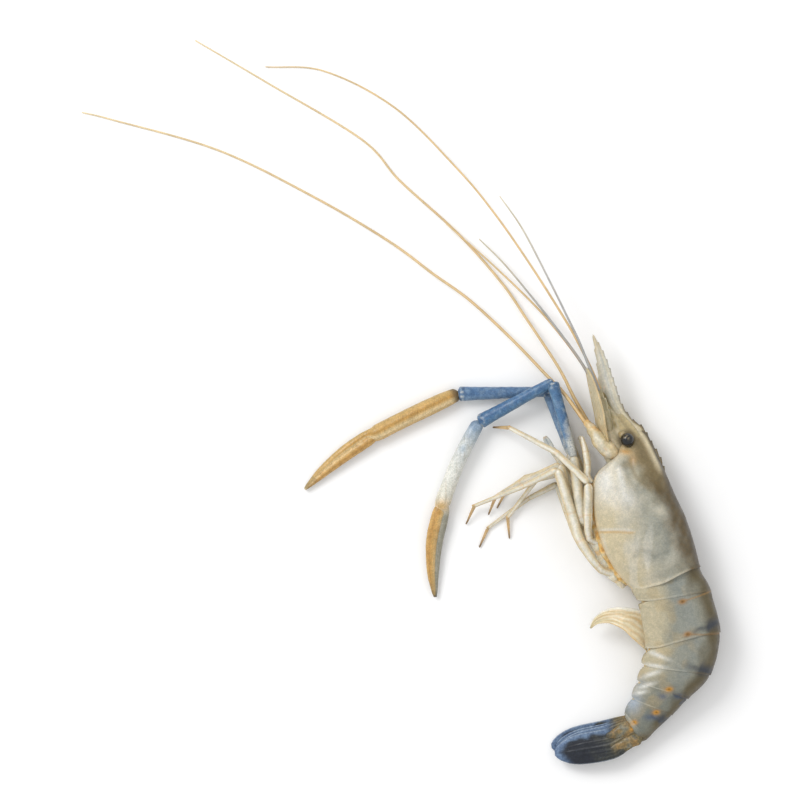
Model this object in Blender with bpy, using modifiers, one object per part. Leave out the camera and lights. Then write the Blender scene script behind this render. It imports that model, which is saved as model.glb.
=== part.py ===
"""A whole raw giant river prawn, lying on its right side on a flat surface.

+Z is up and so is the animal's left flank. +Y is roughly where the head points, and +X is the side of its
back. The origin is on the surface, under the middle of the head shell, which rests there on a small flat.
Lengths below are in millimetres and are turned into metres as the meshes are made.
"""

import math

import bmesh
import bpy
import numpy as np
from mathutils import Vector

MM = 0.001
GAP = 0.35  # between pieces that touch
LEFT, RIGHT = 1, -1

# Body sections from front to back: belly edge x, y, back edge x, y, half width, height of the middle plane
SHELL = [
    (-13.5, 27.0, 0.0, 35.0, 4.6, 11.3),
    (-17.2, 20.5, 3.8, 27.5, 7.6, 11.2),
    (-18.6, 13.5, 7.2, 20.0, 9.8, 11.0),
    (-18.3, 5.0, 11.0, 11.0, 11.3, 10.7),
    (-16.6, -3.0, 14.6, 3.5, 11.9, 10.8),
    (-13.2, -11.5, 17.3, -4.5, 11.7, 10.7),
    (-9.0, -18.0, 18.8, -11.0, 11.1, 10.3),
    (-4.5, -23.0, 20.5, -16.5, 10.3, 9.7),
]
TAIL = [
    (-4.1, -23.7, 20.8, -17.4, 9.7, 9.4),
    (-2.0, -28.5, 23.8, -23.5, 10.0, 9.5),
    (0.2, -42.0, 27.2, -38.5, 9.9, 9.4),
    (-0.8, -50.0, 23.6, -54.0, 9.0, 8.5),
    (-2.6, -56.0, 15.6, -62.6, 7.8, 7.3),
    (-4.6, -62.0, 9.8, -68.6, 6.5, 6.1),
    (-7.0, -68.0, 0.5, -77.5, 4.7, 4.5),
]
SEGMENTS = 6
SADDLE = 2  # the second tail segment's flaps lie over those of the first and third
SEAM = 0.055  # between tail segments, as a share of a section's length
HUB = 0.3  # how far down from the back the middle point of a segment's end face lies

# Angle from the back where the shell's lower edge is, and how far the belly lies inside that edge
SHELL_EDGE, SHELL_GROOVE = math.radians(150), 0.045
TAIL_EDGE, TAIL_GROOVE = math.radians(142), 0.13
ARCH_STEPS, BELLY_STEPS = 9, 3
FULLNESS = 0.78  # under 1 makes the flanks fuller than an ellipse

ROSTRUM_HEIGHT = 11.3
ROSTRUM_HALF_THICKNESS = 0.7
ROSTRUM_TIP = (-18.9, 69.5)
ROSTRUM_BACK = [
    (6.2, 24.8), (3.0, 30.2), (-0.9, 35.6), (-4.8, 38.6), (-8.5, 44.0), (-10.7, 50.5), (-14.6, 61.6),
    ROSTRUM_TIP,
]
ROSTRUM_BELLY = [
    (-2.0, 24.0), (-8.0, 33.5), (-11.5, 39.5), (-14.8, 46.0), (-16.4, 52.0), (-17.4, 60.0), ROSTRUM_TIP,
]
BACK_TEETH, BELLY_TEETH = 11, 8
TOOTH = 0.65
# The thicker ridge along the middle of the beak's sides, as x, y, radius
ROSTRUM_RIDGE = [
    (-1.0, 26.0, 3.6), (-5.5, 34.0, 2.6), (-11.2, 44.0, 1.6), (-14.4, 54.0, 1.15), (-17.9, 66.5, 0.45),
]
SHELL_FRONT = (-9.5, 30.8, 11.3)  # the middle of the head shell's closed front

EYE = (-6.5, 31.2)
EYE_RADIUS = 2.35
EYE_OFFSET = 6.0  # from the middle plane
EYE_STALK = (-10.8, 35.6)
EYE_STALK_OFFSET = 2.3

BREAST_DEPTH = 2.0  # how far the breast plate stands out under the shell
BREAST_HALF_WIDTH = 4.2
BREAST_FIRST, BREAST_LAST = 0.9, 6.7  # in sections of SHELL
HIP_OFFSET = 3.3  # of the legs from the middle plane
KNUCKLE = 0.9  # how far a leg runs straight out before it turns

# The big arms' joints from the body outwards, the palm's half width at both ends, and how far palm and
# fingers bow
BIG_ARMS = {
    "left": {
        "basis": (-22.9, 3.0, 14.6),
        "knee": (-25.8, 25.2, 13.4),
        "elbow": (-33.4, 52.0, 9.6),
        "wrist": (-60.0, 37.4, 5.0),
        "palm": (-73.6, 6.2, 3.5),
        "tip": (-75.8, -26.0, 1.8),
        "palm_widths": (2.3, 2.5),
        "bows": (1.2, 2.3),
        "finger_width": 1.3,
        "moving_side": -1,
    },
    "right": {
        "basis": (-22.4, 3.6, 7.0),
        "knee": (-26.9, 26.2, 5.6),
        "elbow": (-34.8, 48.5, 3.4),
        "wrist": (-67.6, 47.7, 3.2),
        "palm": (-98.7, 32.7, 2.9),
        "tip": (-123.1, 13.1, 1.4),
        "palm_widths": (2.1, 1.75),
        "bows": (0.2, 2.2),
        "finger_width": 1.0,
        "moving_side": 1,
    },
}
# Finger sections: share of its length, radius
FINGER = ((0.045, 0.75), (0.1, 1.08), (0.4, 1.15), (0.7, 1.02), (0.9, 0.66), (1.0, 0.28))

# Walking legs: the hip's place along the shell, then the joints as x, y, z, radius
WALKING_LEGS = {
    ("3", "left"): (4.35, [
        (-20.6, -3.6, 16.8, 1.15), (-20.8, 4.0, 18.4, 1.1), (-20.6, 15.5, 18.4, 1.05),
        (-32.0, 26.4, 16.4, 0.9), (-48.8, 35.4, 7.0, 0.6), (-55.0, 35.6, 2.6, 0.22),
    ]),
    ("4", "left"): (5.1, [
        (-20.4, -6.4, 11.7, 1.15), (-25.6, 3.5, 11.5, 1.25), (-30.6, 22.2, 12.4, 1.05),
        (-45.0, 15.8, 7.0, 0.75), (-53.8, 10.6, 4.0, 0.5), (-56.5, 3.8, 1.0, 0.2),
    ]),
    ("5", "left"): (5.85, [
        (-17.0, -14.8, 16.0, 1.2), (-23.4, -5.5, 15.8, 1.25), (-26.4, 4.5, 15.4, 1.3),
        (-31.6, 20.6, 15.4, 1.05), (-43.8, 14.4, 10.4, 0.75),
        (-61.5, 7.2, 3.6, 0.5), (-64.6, 0.4, 0.8, 0.2),
    ]),
    ("3", "right"): (4.35, [
        (-19.8, -1.0, 4.4, 1.1), (-22.6, 9.0, 2.4, 1.1), (-29.6, 20.8, 1.5, 0.9),
        (-43.0, 17.6, 1.3, 0.65), (-50.0, 12.6, 1.1, 0.45), (-53.4, 6.2, 0.6, 0.2),
    ]),
    ("4", "right"): (5.1, [
        (-19.6, -8.2, 5.0, 1.1), (-25.6, 2.0, 4.4, 1.15), (-31.2, 18.6, 4.6, 0.95),
        (-39.0, 16.6, 4.6, 0.7), (-49.4, 3.0, 2.0, 0.5), (-48.8, -4.8, 0.7, 0.2),
    ]),
    ("5", "right"): (5.85, [
        (-16.6, -15.0, 3.2, 1.15), (-23.6, -5.5, 1.9, 1.15), (-27.6, 5.0, 1.6, 1.1),
        (-31.4, 15.2, 1.5, 0.9), (-42.0, 9.8, 1.3, 0.65), (-56.6, -0.8, 1.0, 0.45), (-59.8, -8.0, 0.6, 0.2),
    ]),
}

# Which of its joints is each leg's knee
LEG_KNEES = {
    ("3", "left"): 2, ("4", "left"): 2, ("5", "left"): 3,
    ("3", "right"): 2, ("4", "right"): 2, ("5", "right"): 3,
}

# Feelers, as x, y, z, radius. They droop to the surface and lie on it.
ANTENNAE = {
    "left": [
        (-21.0, 36.6, 14.4, 0.8), (-26.4, 44.2, 10.4, 0.68),
        (-30.6, 49.6, 6.4, 0.62), (-35.2, 54.2, 5.2, 0.6),
        (-48.0, 67.5, 4.2, 0.55), (-63.2, 81.6, 2.8, 0.5),
        (-76.5, 91.2, 1.4, 0.46), (-92.5, 103.0, 0.7, 0.42),
        (-119.2, 118.8, 0.6, 0.38), (-154.3, 136.0, 0.5, 0.33),
        (-192.5, 147.0, 0.45, 0.27), (-204.0, 149.8, 0.4, 0.2),
    ],
    "right": [
        (-20.6, 37.6, 8.6, 0.75), (-25.6, 46.5, 6.8, 0.62),
        (-29.4, 54.2, 5.6, 0.56), (-33.3, 60.8, 4.4, 0.52),
        (-42.5, 74.6, 2.6, 0.48), (-51.7, 88.0, 1.5, 0.45),
        (-67.7, 106.0, 0.8, 0.42), (-88.6, 125.0, 0.7, 0.38),
        (-102.5, 140.0, 0.6, 0.34), (-137.5, 161.0, 0.5, 0.28), (-163.0, 176.0, 0.45, 0.2),
    ],
}
ANTENNULES = {
    "left": [
        [
            (-16.0, 48.4, 14.4, 0.62), (-19.4, 56.5, 16.2, 0.52),
            (-24.0, 65.8, 17.0, 0.46), (-29.2, 75.0, 16.4, 0.43),
            (-41.5, 94.5, 12.5, 0.4), (-54.3, 113.0, 7.0, 0.37),
            (-67.5, 129.0, 2.6, 0.34), (-90.5, 151.5, 0.8, 0.3),
            (-116.0, 164.7, 0.5, 0.25), (-137.5, 166.3, 0.45, 0.18),
        ],
        [
            (-16.5, 48.6, 15.2, 0.58), (-20.6, 58.4, 18.0, 0.48),
            (-24.0, 66.9, 18.6, 0.42), (-27.9, 75.0, 18.2, 0.38),
            (-34.0, 87.5, 15.5, 0.34), (-44.0, 107.0, 8.0, 0.3), (-52.5, 119.5, 3.2, 0.2),
        ],
    ],
    "right": [
        [
            (-16.6, 48.4, 8.2, 0.62), (-23.5, 60.0, 8.6, 0.48),
            (-30.0, 69.0, 7.4, 0.42), (-37.7, 79.0, 5.6, 0.36),
            (-50.5, 94.5, 3.4, 0.3), (-60.0, 104.0, 2.8, 0.2),
        ],
        [
            (-17.2, 48.4, 7.6, 0.58), (-22.7, 58.6, 7.2, 0.48),
            (-32.2, 71.3, 5.2, 0.42), (-41.5, 81.6, 4.2, 0.37),
            (-57.0, 96.4, 3.0, 0.3), (-72.0, 109.5, 2.4, 0.2),
        ],
    ],
}

TELSON = [(-4.2, -73.6, 4.2, 3.1), (-9.5, -75.8, 3.9, 2.7), (-17.0, -78.2, 3.4, 1.9), (-26.0, -80.2, 2.8, 0.9)]

# The first left swimmeret, which stands out from the belly, as x, y, z, half width
RAISED_PADDLE = [
    (-0.7, -34.8, 12.6, 4.6), (-6.0, -32.2, 12.2, 3.4), (-12.0, -31.6, 10.5, 2.2), (-17.0, -33.6, 8.5, 1.2),
    (-19.6, -37.0, 7.4, 0.35),
]

LIMB_COLOUR = (0.80, 0.72, 0.56)
SHELL_COLOUR = (0.62, 0.58, 0.46)
BLUE = (0.10, 0.20, 0.42)
GOLD = (0.62, 0.38, 0.10)
NAVY = (0.03, 0.05, 0.09)
EYE_BLACK = (0.01, 0.01, 0.01)

parts = bpy.data.collections.new("prawn")
cutters = bpy.data.collections.new("cutters")


def clear_scene():
    for old in list(bpy.data.objects):
        bpy.data.objects.remove(old, do_unlink=True)
    bpy.context.scene.collection.children.link(parts)
    bpy.context.scene.collection.children.link(cutters)


def material(name, colour, roughness):
    made = bpy.data.materials.get(name) or bpy.data.materials.new(name)
    made.use_nodes = True
    shader = made.node_tree.nodes["Principled BSDF"]
    shader.inputs["Base Color"].default_value = (*colour, 1.0)
    shader.inputs["Roughness"].default_value = roughness
    shader.inputs["Metallic"].default_value = 0.0
    return made


def add_object(name, data, look=None, collection=parts):
    made = bpy.data.objects.new(name, data)
    collection.objects.link(made)
    if look:
        data.materials.append(look)
    return made


def eased_rows(rows):
    """A function of the place along the rows, between two of them too: a Catmull-Rom curve through them."""
    rows = np.array(rows, float)
    padded = np.vstack([2 * rows[0] - rows[1], rows, 2 * rows[-1] - rows[-2]])

    def at(place):
        first = int(min(max(math.floor(place), 0), len(rows) - 2))
        t = place - first
        a, b, c, d = padded[first : first + 4]
        bend = (2 * a - 5 * b + 4 * c - d) * t**2 + (3 * b - a - 3 * c + d) * t**3
        return 0.5 * (2 * b + (c - a) * t + bend)

    return at


shell_at = eased_rows(SHELL)
tail_at = eased_rows(TAIL)


def half_profile(edge, groove):
    """(height, width) shares of a half section, from the back over the flank to the middle of the belly."""
    low = math.cos(edge)
    points = []
    for i in range(ARCH_STEPS + 1):
        angle = edge * i / ARCH_STEPS
        points.append(((math.cos(angle) - low) / (1 - low), math.sin(angle) ** FULLNESS if i else 0.0))
    width = points[-1][1]
    for i in range(1, BELLY_STEPS + 1):
        points.append((groove, width * (0.8 if i == 1 else 1 - i / BELLY_STEPS)))
    return points


def section_ring(rows_at, profile, place_of, swell=1.0):
    """Points round one section, in mm. place_of turns a height share into a place along the rows."""
    ring = []
    both_sides = [(h, w) for h, w in profile] + [(h, -w) for h, w in profile[-2:0:-1]]
    for height, width in both_sides:
        belly_x, belly_y, back_x, back_y, half, middle = rows_at(place_of(height))
        share = 0.5 + (height - 0.5) * swell
        x = belly_x + (back_x - belly_x) * share
        y = belly_y + (back_y - belly_y) * share
        z = max(middle + width * half * swell, 0.0)
        ring.append(Vector((x, y, z)) * MM)
    return ring


def lofted(name, rings, look, ends=None, collection=parts):
    """A closed solid through rings of equal count, its two ends fans about a middle point."""
    mesh = bmesh.new()
    rows = [[mesh.verts.new(p) for p in ring] for ring in rings]
    count = len(rings[0])
    for near, far in zip(rows, rows[1:]):
        for i in range(count):
            j = (i + 1) % count
            mesh.faces.new((near[i], near[j], far[j], far[i]))
    middles = ends or [sum(ring, Vector()) / count for ring in (rings[0], rings[-1])]
    for row, middle, first in ((rows[0], middles[0], True), (rows[-1], middles[1], False)):
        centre = mesh.verts.new(middle)
        for i in range(count):
            pair = (row[(i + 1) % count], row[i]) if first else (row[i], row[(i + 1) % count])
            mesh.faces.new((*pair, centre))
    bmesh.ops.recalc_face_normals(mesh, faces=mesh.faces)
    data = bpy.data.meshes.new(name)
    mesh.to_mesh(data)
    mesh.free()
    made = add_object(name, data, look, collection)
    data.shade_smooth()
    data.set_sharp_from_angle(angle=math.radians(40))
    return made


def tube(name, points, look, sides=8, collection=parts):
    """A round limb through (x, y, z, radius), in mm."""
    curve = bpy.data.curves.new(name, "CURVE")
    curve.dimensions = "3D"
    curve.bevel_depth = MM
    curve.bevel_resolution = (sides - 4) // 2
    curve.use_fill_caps = True
    spline = curve.splines.new("POLY")
    spline.points.add(len(points) - 1)
    for place, (x, y, z, radius) in zip(spline.points, points):
        place.co = (x * MM, y * MM, z * MM, 1.0)
        place.radius = radius
    return add_object(name, curve, look, collection)


def eased_tube(name, points, look, steps, sides=6, collection=parts):
    """A tube along a smooth curve through the points, as a feeler is."""
    at = eased_rows(points)
    last = len(points) - 1
    return tube(name, [tuple(at(last * i / steps)) for i in range(steps + 1)], look, sides, collection)


def as_mesh(made):
    """Turns a curve object into a closed mesh object with the same name."""
    graph = bpy.context.evaluated_depsgraph_get()
    data = bpy.data.meshes.new_from_object(made.evaluated_get(graph))
    mesh = bmesh.new()
    mesh.from_mesh(data)
    bmesh.ops.remove_doubles(mesh, verts=mesh.verts, dist=0.001 * MM)
    bmesh.ops.recalc_face_normals(mesh, faces=mesh.faces)
    mesh.to_mesh(data)
    mesh.free()
    name, collection, place = made.name, made.users_collection[0], made.matrix_world.copy()
    bpy.data.objects.remove(made, do_unlink=True)
    turned = add_object(name, data, None, collection)
    turned.matrix_world = place
    return turned


def combine(base, others, operation="UNION"):
    """Joins the others to the base, or cuts them from it, and removes them."""
    group = bpy.data.collections.new("with_" + base.name)
    for other in others:
        group.objects.link(other)
    boolean = base.modifiers.new("combine", "BOOLEAN")
    boolean.operand_type = "COLLECTION"
    boolean.collection = group
    boolean.operation = operation
    boolean.solver = "EXACT"
    bpy.context.view_layer.update()
    graph = bpy.context.evaluated_depsgraph_get()
    data = bpy.data.meshes.new_from_object(base.evaluated_get(graph))
    base.modifiers.clear()
    base.data = data
    for other in others:
        bpy.data.objects.remove(other, do_unlink=True)
    bpy.data.collections.remove(group)
    return base


def plate(name, spine, roll, thickness, look, cup=0.0, along=8, across=4):
    """A leaf-like plate: an open sheet along (x, y, z, half width), with thickness added by Solidify."""
    at = eased_rows(spine)
    last = len(spine) - 1
    mesh = bmesh.new()
    bmesh.ops.create_grid(mesh, x_segments=along, y_segments=across, size=1.0)
    for vertex in mesh.verts:
        place = last * (vertex.co.x + 1) / 2
        share = vertex.co.y
        x, y, z, half = at(place)
        ahead = at(min(place + 0.05, last))[:3] - at(max(place - 0.05, 0))[:3]
        ahead = Vector(ahead).normalized()
        level = Vector((-ahead.y, ahead.x, 0)).normalized()
        up = ahead.cross(level).normalized()
        side = level * math.cos(roll) + up * math.sin(roll)
        face = ahead.cross(side)
        point = Vector((x, y, z)) + side * (share * half) + face * (cup * half * (1 - share**2))
        vertex.co = point * MM
    data = bpy.data.meshes.new(name)
    mesh.to_mesh(data)
    mesh.free()
    made = add_object(name, data, look)
    solid = made.modifiers.new("thickness", "SOLIDIFY")
    solid.thickness = thickness * MM
    solid.offset = 0.0
    return made


def stretch(start, end, share):
    return tuple(a + (b - a) * share for a, b in zip(start, end))


def articled(joints, pinch=0.78, collar=0.12):
    """Tube points for a jointed limb through (x, y, z, radius), each article narrower at its start."""
    points = []
    for start, end in zip(joints, joints[1:]):
        for share, width in ((0.0, pinch), (collar, 1.0), (1 - collar, 1.0)):
            x, y, z, radius = stretch(start, end, share)
            points.append((x, y, z, radius * width))
    x, y, z, radius = joints[-1]
    return points + [(x, y, z, radius)]


def carapace():
    """The head shell in one piece with the toothed beak over the eyes."""
    look = material("shell", SHELL_COLOUR, 0.35)
    profile = half_profile(SHELL_EDGE, SHELL_GROOVE)
    last = len(SHELL) - 1
    front_of = eased_rows([(1.15,), (0.75,), (0.15,), (0.5,), (0.0,), (0.0,)])
    rings = []
    steps = 13
    for i in range(steps + 1):
        share = i / steps
        swell = 0.9 if i == 0 else 1.0

        def place(height, share=share):
            start = float(front_of(height * 5)[0])
            return start + (last - start) * share

        rings.append(section_ring(shell_at, profile, place, swell))
    rear = sum(rings[-1], Vector()) / len(rings[-1])
    made = lofted("carapace", rings, look, [Vector(SHELL_FRONT) * MM, rear])
    blade = rostrum_blade(look)
    ridge_points = [(x, y, ROSTRUM_HEIGHT, radius) for x, y, radius in ROSTRUM_RIDGE]
    ridge = eased_tube("ridge", ridge_points, look, 10, 8)
    combine(made, [as_mesh(blade), as_mesh(ridge)])
    sockets = [eye_ball("socket", side, GAP, cutters) for side in (LEFT, RIGHT)]
    combine(made, sockets, "DIFFERENCE")
    made.data.shade_smooth()
    made.data.set_sharp_from_angle(angle=math.radians(35))


def toothed(edge, teeth, outward):
    """Points along an edge with small teeth that lean towards the beak's tip."""
    at = eased_rows(edge)
    last = len(edge) - 1
    points = []
    for i in range(teeth):
        root = at(last * i / teeth)
        tip = at(last * (i + 0.8) / teeth)
        ahead = at(min(last, last * (i + 0.8) / teeth + 0.05)) - at(last * (i + 0.8) / teeth - 0.05)
        ahead = ahead / np.linalg.norm(ahead)
        normal = np.array((ahead[1], -ahead[0])) * outward
        points.append(tuple(root))
        points.append(tuple(tip + normal * TOOTH * (1 - 0.35 * i / teeth)))
    return points


def rostrum_blade(look):
    back = toothed(ROSTRUM_BACK, BACK_TEETH, 1)
    belly = toothed(ROSTRUM_BELLY, BELLY_TEETH, -1)
    outline = back + [ROSTRUM_TIP] + belly[::-1]
    curve = bpy.data.curves.new("blade", "CURVE")
    curve.dimensions = "2D"
    curve.fill_mode = "BOTH"
    curve.extrude = ROSTRUM_HALF_THICKNESS * MM
    spline = curve.splines.new("POLY")
    spline.points.add(len(outline) - 1)
    for place, (x, y) in zip(spline.points, outline):
        place.co = (x * MM, y * MM, 0, 1)
    spline.use_cyclic_u = True
    made = add_object("blade", curve, look)
    made.location = (0, 0, ROSTRUM_HEIGHT * MM)
    bpy.context.view_layer.update()
    return made


def eye_ball(name, side, extra=0.0, collection=parts):
    mesh = bmesh.new()
    bmesh.ops.create_uvsphere(mesh, u_segments=14, v_segments=9, radius=(EYE_RADIUS + extra) * MM)
    bmesh.ops.translate(mesh, verts=mesh.verts, vec=Vector((*EYE, ROSTRUM_HEIGHT + side * EYE_OFFSET)) * MM)
    data = bpy.data.meshes.new(name)
    mesh.to_mesh(data)
    mesh.free()
    return add_object(name, data, None, collection)


def eyes():
    look = material("eye", EYE_BLACK, 0.1)
    for side, word in ((LEFT, "left"), (RIGHT, "right")):
        ball = eye_ball("eye_" + word, side)
        root = (*EYE_STALK, ROSTRUM_HEIGHT + side * EYE_STALK_OFFSET, 1.2)
        end = (*EYE, ROSTRUM_HEIGHT + side * EYE_OFFSET, 1.9)
        stalk = as_mesh(tube("stalk", [root, stretch(root, end, 0.35), stretch(root, end, 0.8)], look, 10))
        combine(ball, [stalk])
        ball.data.materials.clear()
        ball.data.materials.append(look)
        ball.data.shade_smooth()
        ball.data.set_sharp_from_angle(angle=math.radians(40))


def belly_way(place):
    """(belly edge point, direction away from the back, height of the middle plane) at a section of SHELL."""
    belly_x, belly_y, back_x, back_y, _, middle = shell_at(place)
    away = Vector((belly_x - back_x, belly_y - back_y, 0)).normalized()
    return Vector((belly_x, belly_y, middle)), away, math.dist((belly_x, belly_y), (back_x, back_y))


def breast_plate():
    """The strip between the shell's lower edges that every leg grows from."""
    look = material("membrane", LIMB_COLOUR, 0.45)
    rings = []
    steps = 11
    for i in range(steps + 1):
        share = i / steps
        edge, away, depth = belly_way(BREAST_FIRST + (BREAST_LAST - BREAST_FIRST) * share)
        taper = 1.0 - 0.45 * abs(2 * share - 1) ** 3
        half = BREAST_HALF_WIDTH * taper * 0.94
        top = edge - away * (SHELL_GROOVE * depth - GAP)
        bottom = edge + away * BREAST_DEPTH * taper
        up = Vector((0, 0, 1))
        ring = [
            top + up * half * 0.8,
            bottom + up * half,
            bottom - up * half,
            top - up * half * 0.8,
        ]
        rings.append([p * MM for p in ring])
    lofted("breast_plate", rings, look)


def hip(place, side, offset=HIP_OFFSET):
    """Where a leg starts, just clear of the breast plate."""
    edge, away, _ = belly_way(place)
    point = edge + away * (BREAST_DEPTH + 1.9 * GAP)
    return point.x, point.y, point.z + side * offset


def jointed_leg(name, look, place, side, joints, first_radius, offset=HIP_OFFSET, sides=8):
    """A leg from its hip through (x, y, z, radius), as one solid, with a short knuckle straight out first."""
    start = Vector(hip(place, side, offset))
    _, away, _ = belly_way(place)
    turn = start + away * KNUCKLE
    end = turn + away * first_radius * 0.6
    knuckle = tube("knuckle", [(*start, first_radius * 0.78), (*end, first_radius * 0.9)], look, sides)
    leg = tube(name, articled([(*turn, first_radius)] + joints), look, sides)
    return combine(as_mesh(leg), [as_mesh(knuckle)])


def tail_segments():
    look = material("shell", SHELL_COLOUR, 0.35)
    profile = half_profile(TAIL_EDGE, TAIL_GROOVE)

    def seam(number, height):
        """Place of the seam behind a segment. The saddle's flaps reach over both neighbours."""
        reach = {SADDLE - 1: -0.3, SADDLE: 0.3}.get(number, 0.12 if 0 < number < SEGMENTS else 0.0)
        return number + reach * (1 - height) ** 2

    for number in range(1, SEGMENTS + 1):
        over = number == SADDLE
        steps = [(0.0, 1.0 if over else 0.93), (0.12, 1.02 if over else 0.97)]
        steps += [(0.5, 1.0), (0.85, 1.02), (1.0, 1.01)]
        rings = []
        for share, swell in steps:

            def place(height, share=share, number=number):
                start = seam(number - 1, height) + (SEAM if number > 1 else 0)
                return start + (seam(number, height) - start) * share

            rings.append(section_ring(tail_at, profile, place, swell))
        hubs = [ring[0].lerp(ring[len(ring) // 2], HUB) for ring in (rings[0], rings[-1])]
        lofted(f"tail_segment_{number}", rings, look, hubs)


def tail_fan():
    """The telson and the four blades beside it, closed like a fan and stacked from left to right."""
    look = material("fan", NAVY, 0.4)
    plate("telson", TELSON, 0.0, 1.3, look, 0.05, 8, 4)
    blades = {
        "fan_blade_left_outer": ((-3.7, -74.2, 7.0), (-13.5, -79.2, 6.5), (-32.4, -82.6, 4.6), 5.7, 0.06),
        "fan_blade_left_inner": ((-4.2, -73.0, 5.8), (-13.5, -77.0, 5.3), (-31.0, -80.9, 3.7), 4.8, 0.06),
        "fan_blade_right_inner": ((-4.6, -72.6, 2.1), (-13.5, -76.4, 1.9), (-31.8, -80.2, 1.4), 4.8, 0.0),
        "fan_blade_right_outer": ((-4.6, -73.0, 1.0), (-13.5, -76.0, 0.9), (-33.6, -80.0, 0.6), 5.6, 0.0),
    }
    for name, (root, middle, tip, half, roll) in blades.items():
        spine = [(*root, half * 0.38), (*stretch(root, middle, 0.6), half * 0.8), (*middle, half)]
        for share, width in ((0.5, 0.97), (0.85, 0.6), (1.0, 0.12)):
            spine.append((*stretch(middle, tip, share), half * width))
        plate(name, spine, roll, 0.6, look, 0.04, 9, 5)


def feelers():
    """The two long antennae, the scales beside them and the two branched antennules."""
    look = material("limb", LIMB_COLOUR, 0.4)
    gold = material("gold", GOLD, 0.4)
    for side, word in ((LEFT, "left"), (RIGHT, "right")):
        middle = ROSTRUM_HEIGHT
        bulb = [
            (-11.9, 26.8, middle + side * 4.6, 1.6),
            (-15.4, 28.4, middle + side * 4.8, 2.3),
            (-17.0, 31.0, middle + side * 4.6, 2.5),
            (-19.3, 34.6, middle + side * 3.8, 1.8),
            (-21.2, 37.0, middle + side * 3.0, 1.1),
        ]
        base = as_mesh(tube("antenna_" + word, bulb, gold, 10))
        combine(base, [as_mesh(eased_tube("whip", ANTENNAE[word], gold, 30, 6))])
        scale = [
            (-13.2, 32.6, middle + side * 8.4, 1.0),
            (-15.4, 38.4, middle + side * 8.0, 2.7),
            (-17.5, 44.5, middle + side * 7.1, 3.2),
            (-19.8, 51.5, middle + side * 6.3, 2.6),
            (-21.4, 56.8, middle + side * 6.2, 0.8),
        ]
        plate("antenna_scale_" + word, scale, -side * 0.95, 0.6, look, 0.0, 9, 4)
        middle += side * 3.1
        stem = [
            (-13.1, 35.8, middle, 1.5),
            (-14.3, 39.6, middle, 1.9),
            (-15.2, 43.4, middle, 1.6),
            (-16.1, 46.6, middle, 1.5),
            (-16.9, 49.2, middle, 0.9),
        ]
        base = as_mesh(tube("antennule_" + word, stem, look, 8))
        combine(base, [as_mesh(eased_tube("whip", way, gold, 20, 6)) for way in ANTENNULES[word]])


def front_limbs():
    """The jaw feet and the first, small pair of pincer legs."""
    look = material("limb", LIMB_COLOUR, 0.4)
    jaw = {
        LEFT: [(-20.6, 22.0, 16.4, 1.1), (-21.4, 27.0, 16.6, 1.0), (-23.0, 32.5, 15.6, 0.5)],
        RIGHT: [(-20.6, 22.0, 6.6, 1.1), (-21.4, 27.0, 6.6, 1.0), (-23.6, 32.5, 7.4, 0.5)],
    }
    small = {
        LEFT: [
            (-24.8, 14.4, 10.4, 1.1), (-31.6, 24.6, 8.8, 1.1), (-34.0, 28.4, 8.8, 1.25), (-36.3, 32.4, 8.8, 0.6),
        ],
        RIGHT: [
            (-20.8, 13.6, 2.6, 1.0), (-23.6, 23.0, 1.6, 1.0), (-27.2, 31.0, 1.4, 1.1), (-30.2, 36.2, 1.3, 0.5),
        ],
    }
    small_offset = {LEFT: 0.4, RIGHT: 6.6}
    for side, word in ((LEFT, "left"), (RIGHT, "right")):
        jointed_leg("jaw_foot_" + word, look, 1.7, side, jaw[side], 1.0, 4.4)
        jointed_leg("small_claw_" + word, look, 2.1, side, small[side], 1.0, small_offset[side])


def big_claws():
    """The second pair of legs: blue arms with long golden pincers, each piece hollowed to take the last."""
    pale = material("limb", LIMB_COLOUR, 0.4)
    blue = material("blue", BLUE, 0.4)
    gold = material("gold", GOLD, 0.45)
    for side, word in ((LEFT, "left"), (RIGHT, "right")):
        name = "big_claw_" + word
        arm = BIG_ARMS[word]
        basis, knee, elbow, wrist = [Vector(arm[key]) for key in ("basis", "knee", "elbow", "wrist")]
        upper_end = basis.lerp(knee, 0.97)
        jointed_leg(name + "_hip", pale, 3.55, side, [(*basis, 1.7), (*upper_end, 1.6)], 1.5)
        merus = article(knee, elbow, 1.6, 2.1)
        carpus = article(elbow, wrist, 2.1, 2.4)
        merus_shape = as_mesh(tube(name + "_merus", merus, blue, 10))
        combine(merus_shape, [hollow([(*basis, 1.7), (*knee, 1.6)])], "DIFFERENCE")
        carpus_shape = as_mesh(tube(name + "_carpus", carpus, blue, 10))
        combine(carpus_shape, [hollow(merus)], "DIFFERENCE")
        pincer(name, arm, carpus, gold)


def hollow(points):
    """A cutter a little larger all round than the limb's piece with these points."""
    points = [(Vector(point[:3]), point[3] + 1.2 * GAP) for point in points]
    before = points[0][0] + (points[0][0] - points[1][0]).normalized() * 1.2 * GAP
    after = points[-1][0] + (points[-1][0] - points[-2][0]).normalized() * 1.2 * GAP
    points = [(before, points[0][1])] + points + [(after, points[-1][1])]
    return as_mesh(tube("cutter", [(*place, radius) for place, radius in points], None, 10, cutters))


def article(start, end, near, far):
    """Points of one long hard piece of an arm, with a rounded end."""
    length = (end - start).length
    shape = [(0.0, 0.7), (near * 0.9, 0.95), (length / 2, 1.0)]
    shape += [(length - far, 1.04), (length - 0.3 * far, 0.86), (length, 0.5)]
    points = []
    for place, width in shape:
        share = place / length
        points.append((*start.lerp(end, share), (near + (far - near) * share) * width))
    return points


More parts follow.
